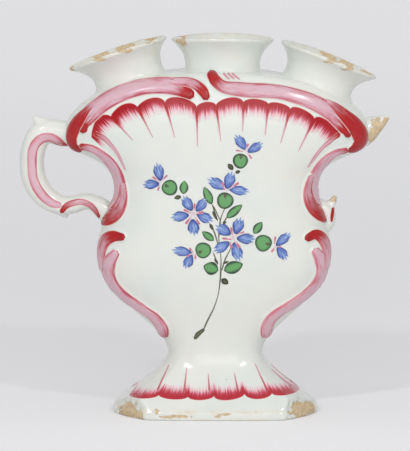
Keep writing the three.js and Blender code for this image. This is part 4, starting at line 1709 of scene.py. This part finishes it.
# Scroll strokes of the front in mm from the foot's middle; after its points, each has its darkness at
# start, end and middle, its reach, its layer, its moulding's height and whether it grows out of another
SCROLLS = (
    Stroke(((-13.2, 170.6, 2.5), (-15.6, 172, 3.3), (-19.2, 173.8, 4), (-23.3, 174.5, 4.1),
        (-28.5, 174.7, 3.9), (-34.8, 174.2, 3.7), (-41, 173, 3.8), (-47.3, 170.9, 3.8), (-53.6, 167.9, 4),
        (-59.3, 164.2, 4.1), (-64.6, 159.7, 4.2), (-68.1, 155.4, 3.7),
        (-68.6, 152.2, 2.5)), 1.1, 1.0, 0.08, 8, 1, 1.5),
    Stroke(((-63.4, 163.6, 0.7), (-67, 160.2, 1.9), (-71, 155.2, 3.1), (-74, 150.3, 3.2), (-74.8, 146, 2.8),
        (-73.7, 142.5, 2.4), (-71, 141, 1.6)), 0.4, 1.2, 0.9, 5, 2, 1.3, True),
    Stroke(((-20.2, 176.5, 1.9), (-14, 176.3, 2.2), (-9.3, 174.8, 2.4), (-6.2, 172, 2.5),
        (-4.8, 169.5, 1.9)), 0.15, 1.1, 0.45, 7, 2, 1.2, True),
    Stroke(((-1.6, 179.8, 2.4), (0.3, 177.1, 2.7), (4.2, 174.3, 2.8), (9.9, 173.3, 3.3), (18.1, 172.5, 3.5),
        (26.4, 172.2, 3.4), (34.2, 171.3, 3.3), (42, 169.3, 3.5), (49.3, 166.8, 3.7), (55.5, 163.7, 3.9),
        (61.3, 160, 4.2), (65.5, 155.7, 4.2), (68.1, 151.7, 3.2),
        (68.8, 149.6, 1.9)), 1.1, 1.15, 0.1, 9, 1, 1.5),
    Stroke(((57.8, 166.2, 0.7), (62.4, 162.9, 2), (67.8, 158, 3.2), (72.3, 153.3, 4), (75.3, 148.4, 4),
        (75.4, 144.4, 3.7), (72.7, 141.9, 2.7), (70.1, 141.1, 1.3)), 0.3, 1.2, 0.85, 6, 2, 1.3, True),
    Stroke(((-69, 142.6, 1.6), (-64.2, 141.8, 1.8), (-59.5, 139.2, 2.1), (-55.1, 134.9, 2.7),
        (-51.8, 129.4, 3.2), (-49.8, 123.5, 3.3), (-49.3, 118.3, 3.2), (-50.4, 113.5, 2.9),
        (-53.1, 110.1, 1.9), (-54.8, 108.9, 0.8)), 0.7, 0.45, 0.05, 6, 0, 1.3),
    Stroke(((-47.4, 122.8, 1.1), (-47.6, 115.9, 2.1), (-49.5, 110.1, 2.9), (-53, 105.6, 3.1),
        (-56.9, 102.9, 2.7), (-59.2, 101.6, 1.8)), 0.3, 1.0, 0.5, 9, 1, 1.3, True),
    Stroke(((67.7, 141, 1.3), (62.5, 139.6, 1.7), (57.3, 135.6, 2.3), (53.2, 129.8, 2.8),
        (51.2, 123.5, 2.9), (51.2, 118.1, 2.7), (53.7, 112.7, 1.9),
        (55.4, 110.2, 0.8)), 0.7, 0.4, 0.05, 6, 0, 1.3),
    Stroke(((49.3, 127.1, 0.95), (47.7, 120.7, 1.6), (48.3, 114.9, 2.3), (50.7, 110, 2.7),
        (54.4, 106.1, 2.7), (57.4, 103.6, 2.1)), 0.3, 1.1, 0.55, 9, 1, 1.3, True),
    Stroke(((-48.6, 95.3, 1.8), (-52.9, 95.3, 2.7), (-56.7, 93, 2.9), (-58.9, 88.5, 2.4),
        (-59.5, 83.1, 1.9), (-59.1, 77.6, 1.6)), 1.2, 0.1, 0.4, 9, 2, 1.3),
    Stroke(((-52.1, 86.1, 2.1), (-55.1, 81.6, 3.4), (-56, 75.9, 3.7), (-54.3, 70.4, 3.5),
        (-50.6, 65.7, 3.3), (-45.8, 61.9, 3.1), (-41, 59, 2.8), (-36.3, 55.9, 2.5), (-31.6, 52.5, 2.8),
        (-28.7, 48.6, 3.1), (-27.4, 45.4, 3.3), (-27.0, 43.6, 2.8)), 0.2, 0.55, 0.08, 6, 1, 1.5),
    Stroke(((48.5, 95, 1.9), (52, 96.4, 2.4), (55.4, 94.2, 2.5), (57.6, 89.7, 2.3), (58.1, 84.3, 2.1),
        (57.9, 78.9, 1.6)), 1.2, 0.1, 0.4, 9, 2, 1.3),
    Stroke(((52.5, 87.2, 2.1), (54.9, 83.2, 3.2), (55.9, 78.7, 3.1), (55.2, 73.7, 3.1), (52.4, 69, 3.1),
        (47.7, 64.7, 2.9), (42.4, 61, 2.7), (37.2, 58, 2.5), (31.9, 54.6, 2.7), (28.2, 50.6, 2.9),
        (26.9, 46.4, 3.2), (26.7, 43.8, 2.9)), 0.2, 0.45, 0.08, 6, 1, 1.5),
)
TAILS = (
    Stroke(((-62, 149.4, 1.2), (-57.8, 147.4, 1.2), (-53.6, 143.2, 0.85), (-50.5, 139, 0.58),
        (-48.5, 134.7, 0.42), (-46.7, 130.4, 0.21)), 0.8, 0.1, 0.2, 5, 2),
    Stroke(((63.9, 149, 1.2), (60.3, 146.5, 0.95), (55.6, 142.3, 0.8), (51.5, 137, 0.58),
        (48.4, 132.2, 0.27)), 0.8, 0.1, 0.2, 5, 2),
    Stroke(((4.4, 180.9, 0.32), (6.0, 179.3, 0.3), (7.5, 178.2, 0.16)), 0.5, 0.3, 0.35, 5, 1, grows=True),
    Stroke(((6.6, 181.0, 0.32), (8.4, 179.4, 0.3), (10.1, 178.2, 0.16)), 0.5, 0.3, 0.35, 5, 1, grows=True),
    Stroke(((8.9, 180.8, 0.32), (10.9, 179.3, 0.3), (12.9, 178.0, 0.16)), 0.5, 0.3, 0.35, 5, 1, grows=True),
)

# Junctions of the scallops with the tips of the long ticks that hang from them, and the tops between
JUNCTIONS = (
    (-64.6, 147.7), (-54.3, 159), (-40.4, 164.1), (-25.9, 166.6), (-9.5, 164.3), (0.5, 165.4),
    (14.8, 166.9), (27.7, 165.9), (39.1, 163.2), (51.6, 158.1), (64.7, 149))
TICKS = (
    None, (-42.5, 146.4), (-32.2, 148), (-20.7, 147.8), (-9, 143.6), (3.1, 146.1), (14.3, 151),
    (25.9, 149.1), (34, 145.1), (43.3, 140.7), None)
END_WAYS = ((0.75, -0.66), (-0.72, -0.69))
TOPS = (
    ((-63.5, 155.1), (-57.7, 159.1)), ((-49.3, 164.7), (-45.1, 165.6)), ((-34.2, 168.6), (-30.6, 168.6)),
    ((-20.2, 169.2), (-16.6, 168.9)), ((-4.6, 166.9),), ((6.2, 169), (9.9, 169)), ((21.3, 168.4),),
    ((33.7, 166.3),), ((43, 163.4), (46.7, 162.6)), ((55, 158.3), (61.3, 154.8)))

# The sprig in mm: petals, leaves and stamens by base, tip and half breadth, buds by middle, mark and radius
PETALS = (
    ((15.5, 142.8), (10.9, 149.3), 2.13), ((17.9, 141.2), (24.5, 145.0), 1.98), ((-28.4, 126.5),
    (-30.1, 134.3), 2.28), ((-30.0, 123.7), (-37.2, 123.1), 2.13), ((4.7, 122.2), (-3.3, 126.2), 2.44),
    ((6.6, 122.5), (8.8, 130.0), 2.44), ((8.4, 121.2), (17.4, 119.7), 2.05), ((-12.5, 110.8),
    (-16.4, 117.1), 2.28), ((-9.1, 110.4), (-4.5, 115.8), 2.13), ((-14.7, 107.4), (-22.4, 106.2), 2.28),
    ((-8.4, 107.8), (-1.5, 104.4), 2.28), ((-11.5, 104.4), (-10.8, 97.2), 2.59), ((7.3, 98.0),
    (1.0, 101.9), 2.51), ((11.0, 98.7), (13.3, 105.9), 2.51), ((12.5, 95.3), (20.6, 94.9), 2.36),
    ((6.6, 92.7), (-0.3, 88.6), 2.28), ((10.2, 92.0), (12.9, 83.8), 2.44), ((32.7, 92.1),
    (38.8, 97.6), 2.05), ((33.1, 89.9), (37.2, 84.3), 2.13), ((-13.2, 87.8), (-21.8, 89.2), 2.13),
    ((-12.5, 85.9), (-15.3, 79.7), 2.13))
HEARTS = (
    (-11.3, 108.5), (9.2, 95.7), (16.1, 141.8), (-28.7, 124.3), (6.2, 120.6), (31.6, 91.0), (-11.7, 87.4))
BUDS = (
    ((13.2, 136.0), (13.6, 138.6), 3.96), ((-23.5, 121.8), (-25.3, 122.9), 4.11), ((5.3, 115.2),
    (5.4, 118.1), 4.34), ((25.2, 92.8), (27.9, 92.2), 4.41), ((-6.1, 89.1), (-7.9, 88.1), 4.19))
LEAVES = (
    ((-1.6, 113.2), (-5.7, 122.4), 2.05), ((6.0, 106.1), (14.2, 113.1), 2.05), ((-16.4, 118.5),
    (-15.8, 125.6), 2.13), ((20.2, 97.8), (24.5, 103.9), 2.05), ((-0.5, 94.2), (-6.7, 98.9), 1.83),
    ((1.8, 78.4), (-6.0, 80.8), 3.20), ((4.7, 78.4), (14.6, 81.9), 3.04))
DARK_LEAVES = (
    ((9.4, 131.3), (6.8, 134.5), 1.37), ((13.1, 130.7), (10.5, 129.7), 0.91), ((-17.5, 117.3),
    (-21.2, 116.3), 1.14), ((3.4, 73.9), (6.9, 71.3), 1.67), ((-1.3, 109.7), (1.3, 104.8), 0.76),
    ((-2.7, 103.1), (-0.9, 99.6), 0.84), ((-0.2, 84.8), (1.6, 81.8), 0.68), ((4.3, 82.1),
    (7.2, 83.3), 0.61), ((4.0, 103.1), (6.0, 104.2), 0.61))
STEMS = (
    (((-6.2, 46.1), (-4.0, 51.2), (-0.6, 58.3), (1.7, 65.7), (2.7, 73.0), (3.0, 77.6), (3.1, 85.2),
    (2.1, 93.5), (2.2, 99.5), (2.8, 104.8), (3.7, 107.8), (5.1, 111.0)), 0.34), (((-10.4, 41.7),
    (-8.9, 43.9), (-6.1, 46.3)), 1.1), (((3.6, 78.5), (5.2, 84.0), (7.5, 88.6), (9.0, 92.0)), 0.30),
    (((1.5, 81.4), (0.0, 85.5), (-0.9, 87.8)), 0.27), (((1.5, 92.7), (0.0, 97.6), (-1.8, 102.1)), 0.30),
    (((-1.3, 113.1), (-0.2, 109.3), (1.5, 104.4)), 0.30), (((4.2, 103.4), (6.0, 106.1)), 0.30),
    (((2.7, 104.8), (1.0, 108.6), (-0.7, 112.3)), 0.23))
STAMENS = (
    ((-15.8, 110.2), (-13.4, 108.7), 0.53), ((-10.6, 113.2), (-10.7, 110.9), 0.53), ((-9.1, 108.2),
    (-6.5, 109.1), 0.61), ((-14.9, 103.4), (-13.2, 105.5), 0.61), ((-9.7, 105.4), (-8.2, 103.1), 0.46),
    ((4.3, 95.3), (7.5, 94.4), 0.53), ((8.4, 100.6), (9.1, 97.8), 0.61), ((12.9, 98.7), (14.9, 98.7), 0.38),
    ((6.9, 91.5), (8.5, 90.9), 0.61), ((11.2, 92.6), (12.7, 90.9), 0.68), ((11.2, 141.5),
    (13.2, 140.4), 0.38), ((17.1, 144.5), (16.5, 142.5), 0.53), ((17.4, 139.5), (18.9, 137.4), 0.38),
    ((-32.1, 127.2), (-29.6, 125.6), 0.46), ((-26.9, 126.3), (-25.1, 128.1), 0.46), ((-29.6, 120.6),
    (-28.7, 122.6), 0.46), ((3.9, 124.3), (4.5, 121.5), 0.61), ((9.7, 122.7), (11.9, 124.3), 0.53),
    ((30.6, 93.6), (31.4, 95.7), 0.46), ((29.7, 88.4), (30.9, 90.1), 0.46), ((32.3, 90.9),
    (34.4, 90.7), 0.30), ((-13.0, 90.0), (-11.4, 88.5), 0.46), ((-14.4, 85.9), (-12.3, 87.4), 0.38),
    ((-10.2, 85.0), (-9.4, 86.4), 0.46))

# Border of the foot on the plane of its front edge: junctions, the bottoms between, and the long ticks
FOOT_JUNCTIONS = (
    (-45.4, 12.8), (-29.5, 13.2), (-14.1, 12.4), (-0.5, 12.8), (15.5, 13.9), (30.0, 14.4), (44.6, 15.6))
FOOT_BOTTOMS = ((-37.3, 11.4), (-22.0, 11.0), (-7.6, 10.7), (6.8, 10.7), (22.8, 11.3), (36.4, 13.2))
FOOT_TICKS = (
    ((-30.1, 16.0), (-24.3, 28.9)), ((-16.1, 15.6), (-14.8, 28.2)), ((-2.9, 15.7), (-3.6, 24.7)),
    ((12.0, 15.7), (10.1, 25.1)), ((27.2, 16.4), (20.8, 29.9)), ((41.0, 16.6), (29.7, 26.4)))
FOOT_WAYS = (
    (0.62, 0.78), (0.42, 0.9), (0.12, 1.0), (-0.03, 1.0), (-0.16, 1.0), (-0.45, 0.9), (-0.66, 0.75))
HANDLE_STROKES = (
    Stroke(((-79.4, 141.0, 1.9), (-83.2, 144.4, 2.2), (-86.9, 146.0, 2.3), (-91.1, 145.5, 2.4),
        (-94.5, 142.6, 2.4), (-96.1, 138.4, 2.4), (-96.4, 131.5, 2.3), (-95.9, 125.2, 2.3),
        (-93.8, 119.4, 2.4), (-90.2, 114.6, 2.4), (-86.0, 111.4, 2.1),
        (-82.3, 110.4, 1.3)), 0.8, 0.4, 0.12, 6, 0),
    Stroke(((-80.8, 107.1, 1.1), (-78.6, 109.8, 1.4), (-74.9, 111.4, 1.4), (-70.2, 112.0, 1.4),
        (-66.0, 110.4, 1.4), (-63.4, 107.7, 1.3), (-61.9, 104.4, 1.2)), 0.9, 0.8, 0.35, 6, 1),
)
STUB_STROKE = Stroke(((61.9, 108.3, 0.64), (61.4, 105.2, 0.69), (61.1, 102.0, 0.42)), 1.0, 1.0, 1.0, 5, 0)


def arched(low: Points, high: Points, tops: Sequence[Points]) -> list[tuple[float, float]]:
    """Give the full round edge of a scallop.

    Args:
        low: the junction where it starts.
        high: the junction where it ends.
        tops: one or two places at its highest part.

    Returns:
        Points along the edge.
    """
    start, chord = np.array(low, float), np.subtract(high, low)
    off = np.array([np.subtract(top, low) for top in tops])
    peak = float((off @ chord).mean() / (chord @ chord))
    across = np.array([-chord[1], chord[0]]) / np.hypot(*chord)
    rise = float((off @ across)[np.argmax(np.abs(off @ across))])
    edge = []
    for t in (0.0, 0.03, 0.09, 0.2, 0.35, 0.5, 0.65, 0.8, 0.91, 0.97, 1.0):
        bent = t ** (math.log(min(max(peak, 0.35), 0.65)) / math.log(0.5))
        edge.append(tuple(start + chord * bent + across * rise * (1 - abs(2 * t - 1) ** 2.1) ** 0.62))
    return edge


@dataclass(frozen=True)
class Caster:
    """Casts paint from an upright plane in front of a surface onto it."""

    tree: BVHTree
    plane: float
    fall: float = 0.0
    shrinks: tuple[float, ...] = (1, 0.985, 0.97, 0.955, 0.94)

    def lay(self, x: Array, z: Array, lift: Array) -> Array:
        """Cast points onto the surface and lift them off it.

        A point that misses the surface is tried a little nearer the middle, and at last goes to the
        nearest place.

        Args:
            x: the points' places across, in mm.
            z: their heights on the plane.
            lift: distances off the surface.

        Returns:
            The points on the surface.
        """
        way = Vector((0, 1, -self.fall))
        spots = np.zeros((len(x), 3))
        for k, (across, up) in enumerate(zip(x, z)):
            for shrink in self.shrinks:
                start = Vector((across * shrink, self.plane, up)) - way * 30
                hit, out, _, _ = self.tree.ray_cast(start, way.normalized())
                if hit is not None:
                    break
            else:
                hit, out, _, _ = self.tree.find_nearest(Vector((across, self.plane + 6, up)))
            spots[k] = hit + out * float(lift[k])
        return spots


@dataclass(frozen=True)
class Painter:
    """Lays the painted ornament on both faces of the vase."""

    form: BodyForm
    shop: Workshop
    rose: RoseEnamel = RoseEnamel()
    border: CombedBorder = CombedBorder()
    hem: CombedBorder = CombedBorder(srgb(186, 50, 62), srgb(210, 96, 116), srgb(234, 184, 194))
    lines: RoseEnamel = RoseEnamel(rim=1.0)
    blue: PetalEnamel = PetalEnamel()
    green: PlainEnamel = PlainEnamel(srgb(104, 166, 102), srgb(44, 68, 50), 0.8, 0.4)
    olive: PlainEnamel = PlainEnamel(srgb(104, 106, 76), srgb(58, 58, 44), 0.5, 0.9)
    pink: PlainEnamel = PlainEnamel(srgb(200, 104, 130), srgb(222, 170, 188), 0.62, 1.0)
    white: PlainEnamel = PlainEnamel(srgb(240, 226, 232), srgb(222, 180, 198), 0.7, 0.6)
    scallop_comb: float = 11.0
    foot_comb: float = 8.8
    back_scale: float = 0.8
    sprig_middle: float = 95.0
    back_middle: float = 100.0
    handle_plane: float = -12.0
    tick_wall: float = 0.15
    sprig_wall: float = 0.12

    def close(self, paint: Paint, part: str, enamel: Enamel, wall: float = 0.2,
              slot: str = "crimson_enamel") -> None:
        """Make a piece of a layer of paint, named for its part and side.

        Args:
            paint: the paint.
            part: what it is.
            enamel: its finish.
            wall: its thickness in mm.
            slot: the record's slot that the finish stands for.
        """
        name = f"{part}_{paint.side.name.lower()}"
        self.shop.finish(paint.finish(), name, enamel.make(name), slot, wall=wall)

    def scrolls(self, side: Side) -> None:
        """Paint the scrolls, their tails and the hatches.

        Args:
            side: the face that gets them.
        """
        paint = Paint(self.form.lay, side)
        for stroke in SCROLLS:
            paint.stroke(stroke)
        for stroke in TAILS:
            paint.stroke(stroke, margin=0.2, rows=4)
        self.close(paint, "scroll_paint", self.rose)

    def scallops(self, side: Side) -> None:
        """Paint the combed border of the upper edge and its long ticks.

        Args:
            side: the face that gets them.
        """
        paint, lines = Paint(self.form.lay, side), Paint(self.form.lay, side)
        ticks = [(junction, tip) for junction, tip in zip(JUNCTIONS, TICKS) if tip]
        ways = [END_WAYS[0], *(np.subtract(tip, junction) for junction, tip in ticks), END_WAYS[1]]
        units = [np.array(way) / np.hypot(*way) for way in ways]
        for index, tops in enumerate(TOPS):
            paint.lobe(arched(JUNCTIONS[index], JUNCTIONS[index + 1], tops), units[index:index + 2],
                       self.scallop_comb, 0.15 + 0.1 * math.sin(index * 2.3), 37.0 * index)
        for junction, tip in ticks:
            marks = [(*between(junction, tip, share), half)
                     for share, half in ((0.1, 0.7), (0.3, 0.5), (0.6, 0.28), (1.0, 0.05))]
            lines.stroke(Stroke(marks, 1.1, 0.0, 0.4, 6, 1, grows=True), margin=0.1, rows=4)
        self.close(paint, "scallop_border", self.border)
        self.close(lines, "scallop_ticks", self.lines, self.tick_wall)

    def sprig(self, side: Side) -> None:
        """Paint the cornflower sprig; the back has a smaller one.

        Args:
            side: the face that gets it.
        """
        front = (1.0, self.sprig_middle)
        scale, height = front if side is Side.FRONT else (self.back_scale, self.back_middle)

        def lay(x: Array, z: Array, lift: Array) -> Array:
            """Lay the sprig at its size on this side."""
            return self.form.lay(x * scale, height + (z - self.sprig_middle) * scale, lift)

        blue, green, olive, pink, white = (Paint(lay, side) for _ in range(5))
        chance = random.Random(7)
        for base, tip, half in PETALS:
            blue.petal(base, tip, half, chance.random())
        for middle, spot, radius in BUDS:
            green.bud(middle, radius, chance.random() * 5)
            mark = ((*spot, 0.75), (*between(spot, middle, 0.5), 0.3))
            olive.stroke(Stroke(mark, layer=3), margin=0.1, rows=4, spacing=0.4)
        for base, tip, half in LEAVES:
            green.leaf(base, tip, half * 1.1, chance.random() * 5)
        for base, tip, half in DARK_LEAVES:
            olive.leaf(base, tip, half, chance.random())
        for points, half in STEMS:
            thick = [(*point, half * (0.8 + 0.3 * math.sin(k * 1.7))) for k, point in enumerate(points)]
            olive.stroke(Stroke(thick), margin=0.02, rows=3, spacing=0.7)
        for base, tip, half in STAMENS:
            heart = min((math.dist(spot, base), spot) for spot in HEARTS)[1]
            inwards = math.dist(base, heart) > math.dist(tip, heart)
            near, far = (tip, base) if inwards else (base, tip)
            near = between(near, heart, 0.4)
            stamen = ((*far, half * 1.15), (*near, half * 0.5))
            pink.stroke(Stroke(stamen, layer=3), margin=0.05, rows=4, spacing=0.4)
            line = ((*between(far, near, 0.55), 0.12), (*heart, 0.2))
            white.stroke(Stroke(line, layer=5), margin=0.05, rows=2, spacing=0.4)
        for paint, part, enamel, slot in (
                (blue, "petals", self.blue, "blue_enamel"), (green, "leaves", self.green, "green_enamel"),
                (olive, "stems", self.olive, "green_enamel"),
                (pink, "stamens", self.pink, "crimson_enamel"),
                (white, "stamen_lines", self.white, "white_glaze")):
            self.close(paint, f"sprig_{part}", enamel, self.sprig_wall, slot)

    def foot(self, side: Side, tree: BVHTree) -> None:
        """Paint the combed border of the foot and its ticks, as the photograph looks down on them.

        Args:
            side: the face that gets them.
            tree: the foot's surface.
        """
        lay = Caster(tree, -Foot.half_depth, math.tan(math.radians(PHOTO_PITCH))).lay
        paint, lines = Paint(lay, side), Paint(lay, side)
        for index, bottom in enumerate(FOOT_BOTTOMS):
            edge = arched(FOOT_JUNCTIONS[index], FOOT_JUNCTIONS[index + 1], (bottom,))
            paint.lobe(edge, FOOT_WAYS[index:index + 2], self.foot_comb, 0.35 if index % 2 else -0.1,
                       500.0 + 29.0 * index)
        for base, tip in FOOT_TICKS:
            marks = ((*base, 0.42), (*between(base, tip, 0.5), 0.26), (*tip, 0.08))
            lines.stroke(Stroke(marks, 0.7, 0.3, 0.45, 6, 1, grows=True), margin=0.1, rows=3)
        self.close(paint, "foot_border", self.hem)
        self.close(lines, "foot_ticks", self.lines, self.tick_wall)

    def handle(self, side: Side, tree: BVHTree, strokes: Sequence[Stroke], part: str) -> None:
        """Paint strokes on a scroll piece.

        Args:
            side: the face that gets them.
            tree: the piece's surface.
            strokes: the strokes.
            part: what the paint is.
        """
        paint = Paint(Caster(tree, self.handle_plane).lay, side)
        for stroke in strokes:
            paint.stroke(stroke, margin=0.25, rows=8, spacing=0.8)
        self.close(paint, part, self.rose)


@dataclass(frozen=True)
class Studio:
    """Plain pale sweep, soft lamps and the photograph's long lens."""

    axis: float
    eye: tuple[float, float, float] = (19.582, -1869.9, 312.0)
    turn: float = 0.7699
    pitch: float = 6.5004
    lens: float = 284.45
    sensor: float = 36.0
    daylight: float = 0.46
    paper: Colour = srgb(236, 236, 238)
    paper_fibre: Colour = srgb(234, 234, 236)
    paper_glow: Colour = srgb(238, 238, 240)
    glow: tuple[float, float] = (0.205, 0.11)
    glow_span: tuple[float, float] = (0.1, 1.7)
    sweep_front: float = 2.5
    sweep_wall: float = 1.75
    sweep_radius: float = 0.5
    sweep_height: float = 2.0
    sweep_width: float = 6.0
    lamps: tuple = (
        ("left_box", (-0.68, -1.45, 1.2), 0.13, 6.2), ("right_box", (0.74, -1.4, 1.1), 0.13, 5.0),
        ("top_box", (0.0, -0.2, 1.7), 0.9, 1.0), ("front_fill", (0.15, -2.3, 0.45), 1.5, 12.5))

    def paper_finish(self) -> Material:
        """Make the pale paper, whose glow is a little stronger far back and shows only to the camera.

        Returns:
            The material.
        """
        finish = Finish("studio_paper")
        rays = finish.node("ShaderNodeLightPath").outputs
        seen = Signal(finish, rays["Is Camera Ray"])
        for kind in ("Is Glossy Ray", "Is Transmission Ray"):
            seen = seen + Signal(finish, rays[kind])
        split = finish.node("ShaderNodeSeparateXYZ")
        finish.feed(split.inputs[0], finish.place())
        far = Signal(finish, split.outputs["Y"]).ease(*self.glow_span) * self.glow[1] + self.glow[0]
        finish.feed(finish.shader.inputs["Emission Color"], self.paper_glow)
        finish.feed(finish.shader.inputs["Emission Strength"], finish.math("MINIMUM", seen, 1.0) * far)
        finish.feed(finish.shader.inputs["Roughness"], 0.9)
        tint = finish.mix(finish.noise(finish.place(), 3, 2), self.paper, self.paper_fibre)
        finish.feed(finish.shader.inputs["Base Color"], tint)
        return finish.material

    def sweep(self) -> None:
        """Make the floor and its curved backdrop."""
        flat, radius = self.sweep_front + self.sweep_wall, self.sweep_radius
        bend = radius * math.pi / 2

        def place(u: Array, v: Array) -> Array:
            """Bend the grid up behind the vase.

            Args:
                u: shares across the paper.
                v: shares from its front edge to its top.

            Returns:
                The paper's points, in metres.
            """
            at = v * (flat + bend + self.sweep_height)
            turn = np.clip((at - flat) / radius, 0, math.pi / 2)
            y = -self.sweep_front + np.minimum(at, flat) + radius * np.sin(turn)
            z = radius * (1 - np.cos(turn)) + np.clip(at - flat - bend, 0, None)
            return np.stack([(u - 0.5) * self.sweep_width, y, z], -1)

        bm = bmesh.new()
        reshape_grid(bm, 8, 80, place)
        floor = add_object("sweep", bm)
        floor.data.materials.append(self.paper_finish())

    def lamp(self, name: str, place: tuple[float, float, float], size: float, power: float) -> None:
        """Hang a square soft lamp that looks at the vase.

        Args:
            name: the lamp's name.
            place: where it hangs, in metres.
            size: its side, in metres.
            power: its power in watts.
        """
        light = bpy.data.lights.new(name, "AREA")
        light.size = size
        light.energy = power
        lamp = bpy.data.objects.new(name, light)
        lamp.location = place
        aim = Vector((self.axis, 0, 0.1)) - Vector(place)
        lamp.rotation_euler = aim.to_track_quat("-Z", "Y").to_euler()
        bpy.context.scene.collection.objects.link(lamp)

    def camera(self) -> None:
        """Set up the photograph's camera."""
        data = bpy.data.cameras.new("camera")
        data.lens = self.lens
        data.sensor_width = self.sensor
        data.clip_end = 60
        camera = bpy.data.objects.new("camera", data)
        camera.location = (self.axis + self.eye[0] * MM, self.eye[1] * MM, self.eye[2] * MM)
        camera.rotation_euler = (math.radians(90 - self.pitch), 0, math.radians(self.turn))
        bpy.context.scene.collection.objects.link(camera)
        bpy.context.scene.camera = camera

    def build(self) -> None:
        """Set up the stage, the light and the camera."""
        scene = bpy.context.scene
        scene.view_settings.view_transform = "Standard"
        self.sweep()
        world = bpy.data.worlds.new("studio")
        world.use_nodes = True
        background = world.node_tree.nodes["Background"]
        background.inputs["Color"].default_value = (1, 1, 1, 1)
        background.inputs["Strength"].default_value = self.daylight
        scene.world = world
        for lamp in self.lamps:
            self.lamp(*lamp)
        self.camera()


def main() -> None:
    """Build the vase piece by piece and set up the studio."""
    logging.basicConfig(level=logging.INFO, format="%(name)s: %(message)s")
    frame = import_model()
    low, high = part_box("foot")
    axis = (low.x + high.x) / 2
    shop = Workshop(axis, next(iter(frame["bodies"])))
    form = BodyForm(relief=Relief(SCROLLS))
    glaze = TinGlaze()
    plain, worn = glaze.make("tin_glaze"), glaze.make("worn_tin_glaze", worn=True)
    Body(form, tuple(neck.x for neck in NECKS)).build(shop, plain)
    for neck in NECKS:
        neck.build(shop, form, worn)
    foot = Foot().build(shop, worn)
    handle, _, lower_stub = (piece.build(shop, worn) for piece in (HANDLE, UPPER_STUB, LOWER_STUB))
    floor = frame["nodes"]["body_floor"]
    floor.data.materials.clear()
    floor.data.materials.append(plain)
    painter = Painter(form, shop)
    for side in Side:
        painter.scrolls(side)
        painter.scallops(side)
        painter.sprig(side)
        painter.foot(side, foot)
        painter.handle(side, handle, HANDLE_STROKES, "handle_paint")
    painter.handle(Side.FRONT, lower_stub, (STUB_STROKE,), "stub_paint")
    Studio(axis).build()


if __name__ == "__main__":
    main()
